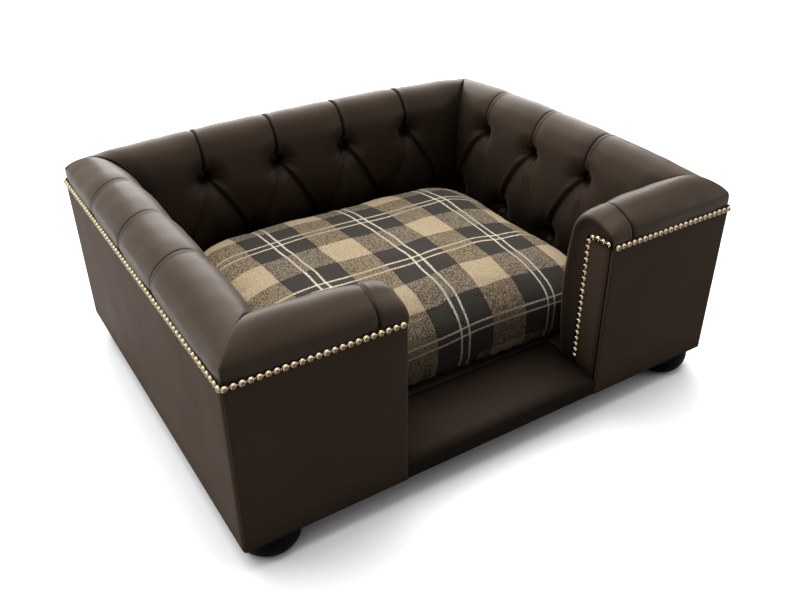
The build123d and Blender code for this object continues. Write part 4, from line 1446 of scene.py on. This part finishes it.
# CAD nodes that stay as they are get their finish here
kept = {
    plywood: ("base_board", "panel"),
    timber: ("post", "rail", "studs"),
    zinc: ("foot_bolts", "insert_nuts"),
    zipMetal: ("zip_slider",),
}
for cadName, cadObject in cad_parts.items():
    if cadObject.hide_render:
        continue
    for material, words in kept.items():
        if any(word in cadName for word in words):
            if not cadObject.data.materials:
                cadObject.data.materials.append(material)
            for materialSlot in cadObject.material_slots:
                materialSlot.material = material
print("frame finished")


# camera, from the photograph's own perspective
cameraLook = {
    "place": (-0.688, -1.139, 0.930),
    "azimuth": -32.04,
    "elevation": 31.66,
    "roll": -0.56,
    "lens": 37.99,
    "sensor": 36,
}


def placeCamera(look):
    a, e, r = (math.radians(look[k]) for k in ("azimuth", "elevation", "roll"))
    back = Vector((math.sin(a) * math.cos(e), -math.cos(a) * math.cos(e), math.sin(e)))
    right = Vector((math.cos(a), math.sin(a), 0))
    up = back.cross(right)
    turn = Matrix((right * math.cos(r) + up * math.sin(r), up * math.cos(r) - right * math.sin(r), back))
    camera = addObject("camera", bpy.data.cameras.new("camera"))
    camera.matrix_world = Matrix.Translation(look["place"]) @ turn.transposed().to_4x4()
    camera.data.sensor_width = look["sensor"]
    camera.data.lens = look["lens"]
    camera.data.clip_end = 50
    bpy.context.scene.camera = camera


placeCamera(cameraLook)

lightLook = {
    "world": 0.045,
    "floorShown": 0.92,
    "floorUnseen": 0.20,
    "floorGlow": 0.50,
    "floorHalf": 9,
    "shadowReach": 0.22,
    # direction it comes from, strength, angle across in degrees
    "overhead": ((0.05, 0.42, 1.0), 3.6, 74.0),
    # name, place, aim, size, watts
    "lamps": (
        ("backSheen", (1.5, 2.9, 1.4), (0.0, 0.0, 0.3), (3.8, 2.2), 118.0),
        ("leftBack", (-2.2, 1.0, 0.8), (-0.45, 0.1, 0.25), (1.2, 0.8), 14.5),
        ("rightFill", (2.2, -1.4, 1.0), (0.4, -0.3, 0.2), (1.0, 1.0), 6.0),
    ),
}


def addLight(name, kind, turn, place=(0, 0, 0), **settings):
    lamp = addObject(name, bpy.data.lights.new(name, kind))
    setAll(lamp.data, settings)
    lamp.location = place
    lamp.rotation_mode = "QUATERNION"
    lamp.rotation_quaternion = turn


def addLights(look):
    # one wide soft source, as even as a ceiling of diffusers, and lamps that shape the leather
    source, strength, angle = look["overhead"]
    turn = Vector(source).to_track_quat("Z", "Y")
    addLight("overhead", "SUN", turn, energy=strength, angle=math.radians(angle))
    for name, place, aim, (width, height), watts in look["lamps"]:
        turn = (Vector(aim) - Vector(place)).to_track_quat("-Z", "Y")
        addLight(name, "AREA", turn, place, shape="RECTANGLE", size=width, size_y=height, energy=watts)


def seenDirectly(tree):
    # one for camera, mirror and clear rays, nought for the light that falls on things
    path = node(tree, "LightPath").outputs
    some = mathNode(tree, "MAXIMUM", path["Is Camera Ray"], path["Is Glossy Ray"])
    return mathNode(tree, "MAXIMUM", some, path["Is Transmission Ray"])


def whiteWorld(look):
    world = bpy.data.worlds.new("studio")
    bpy.context.scene.world = world
    world.use_nodes = True
    tree = world.node_tree
    strength = mathNode(tree, "MULTIPLY_ADD", seenDirectly(tree), 1 - look["world"], look["world"])
    setInputs(tree, tree.nodes["Background"], {"Color": (1, 1, 1), "Strength": strength})


def paleFloor(look):
    h = look["floorHalf"]
    floor = addMesh("studioFloor", [(-h, -h, 0), (h, -h, 0), (h, h, 0), (-h, h, 0)], [(0, 1, 2, 3)], smooth=False)
    material, tree, shader = newMaterial("paleFloor")
    shown, unseen = (look["floorShown"],) * 3, (look["floorUnseen"],) * 3
    # painted shadow: the glow fades close to the bed, by how closed in the floor is there, so the floor by the bed is
    # painted darker and its cast shadow stays
    clear = hollows(tree, look["shadowReach"], [(0.24, 0.0), (0.80, 1.0)], samples=6)
    camera = node(tree, "LightPath").outputs["Is Camera Ray"]
    glow = mathNode(tree, "MULTIPLY", mathNode(tree, "MULTIPLY", camera, clear), look["floorGlow"])
    setInputs(tree, shader, {
        "Base Color": mixColour(tree, seenDirectly(tree), unseen, shown),
        "Roughness": 0.9,
        "Specular IOR Level": 0.0,
        "Emission Color": (1, 1, 1),
        "Emission Strength": glow,
    })
    floor.data.materials.append(material)


addLights(lightLook)
whiteWorld(lightLook)
paleFloor(lightLook)
bpy.context.scene.view_settings.view_transform = "Standard"
print("studio set")
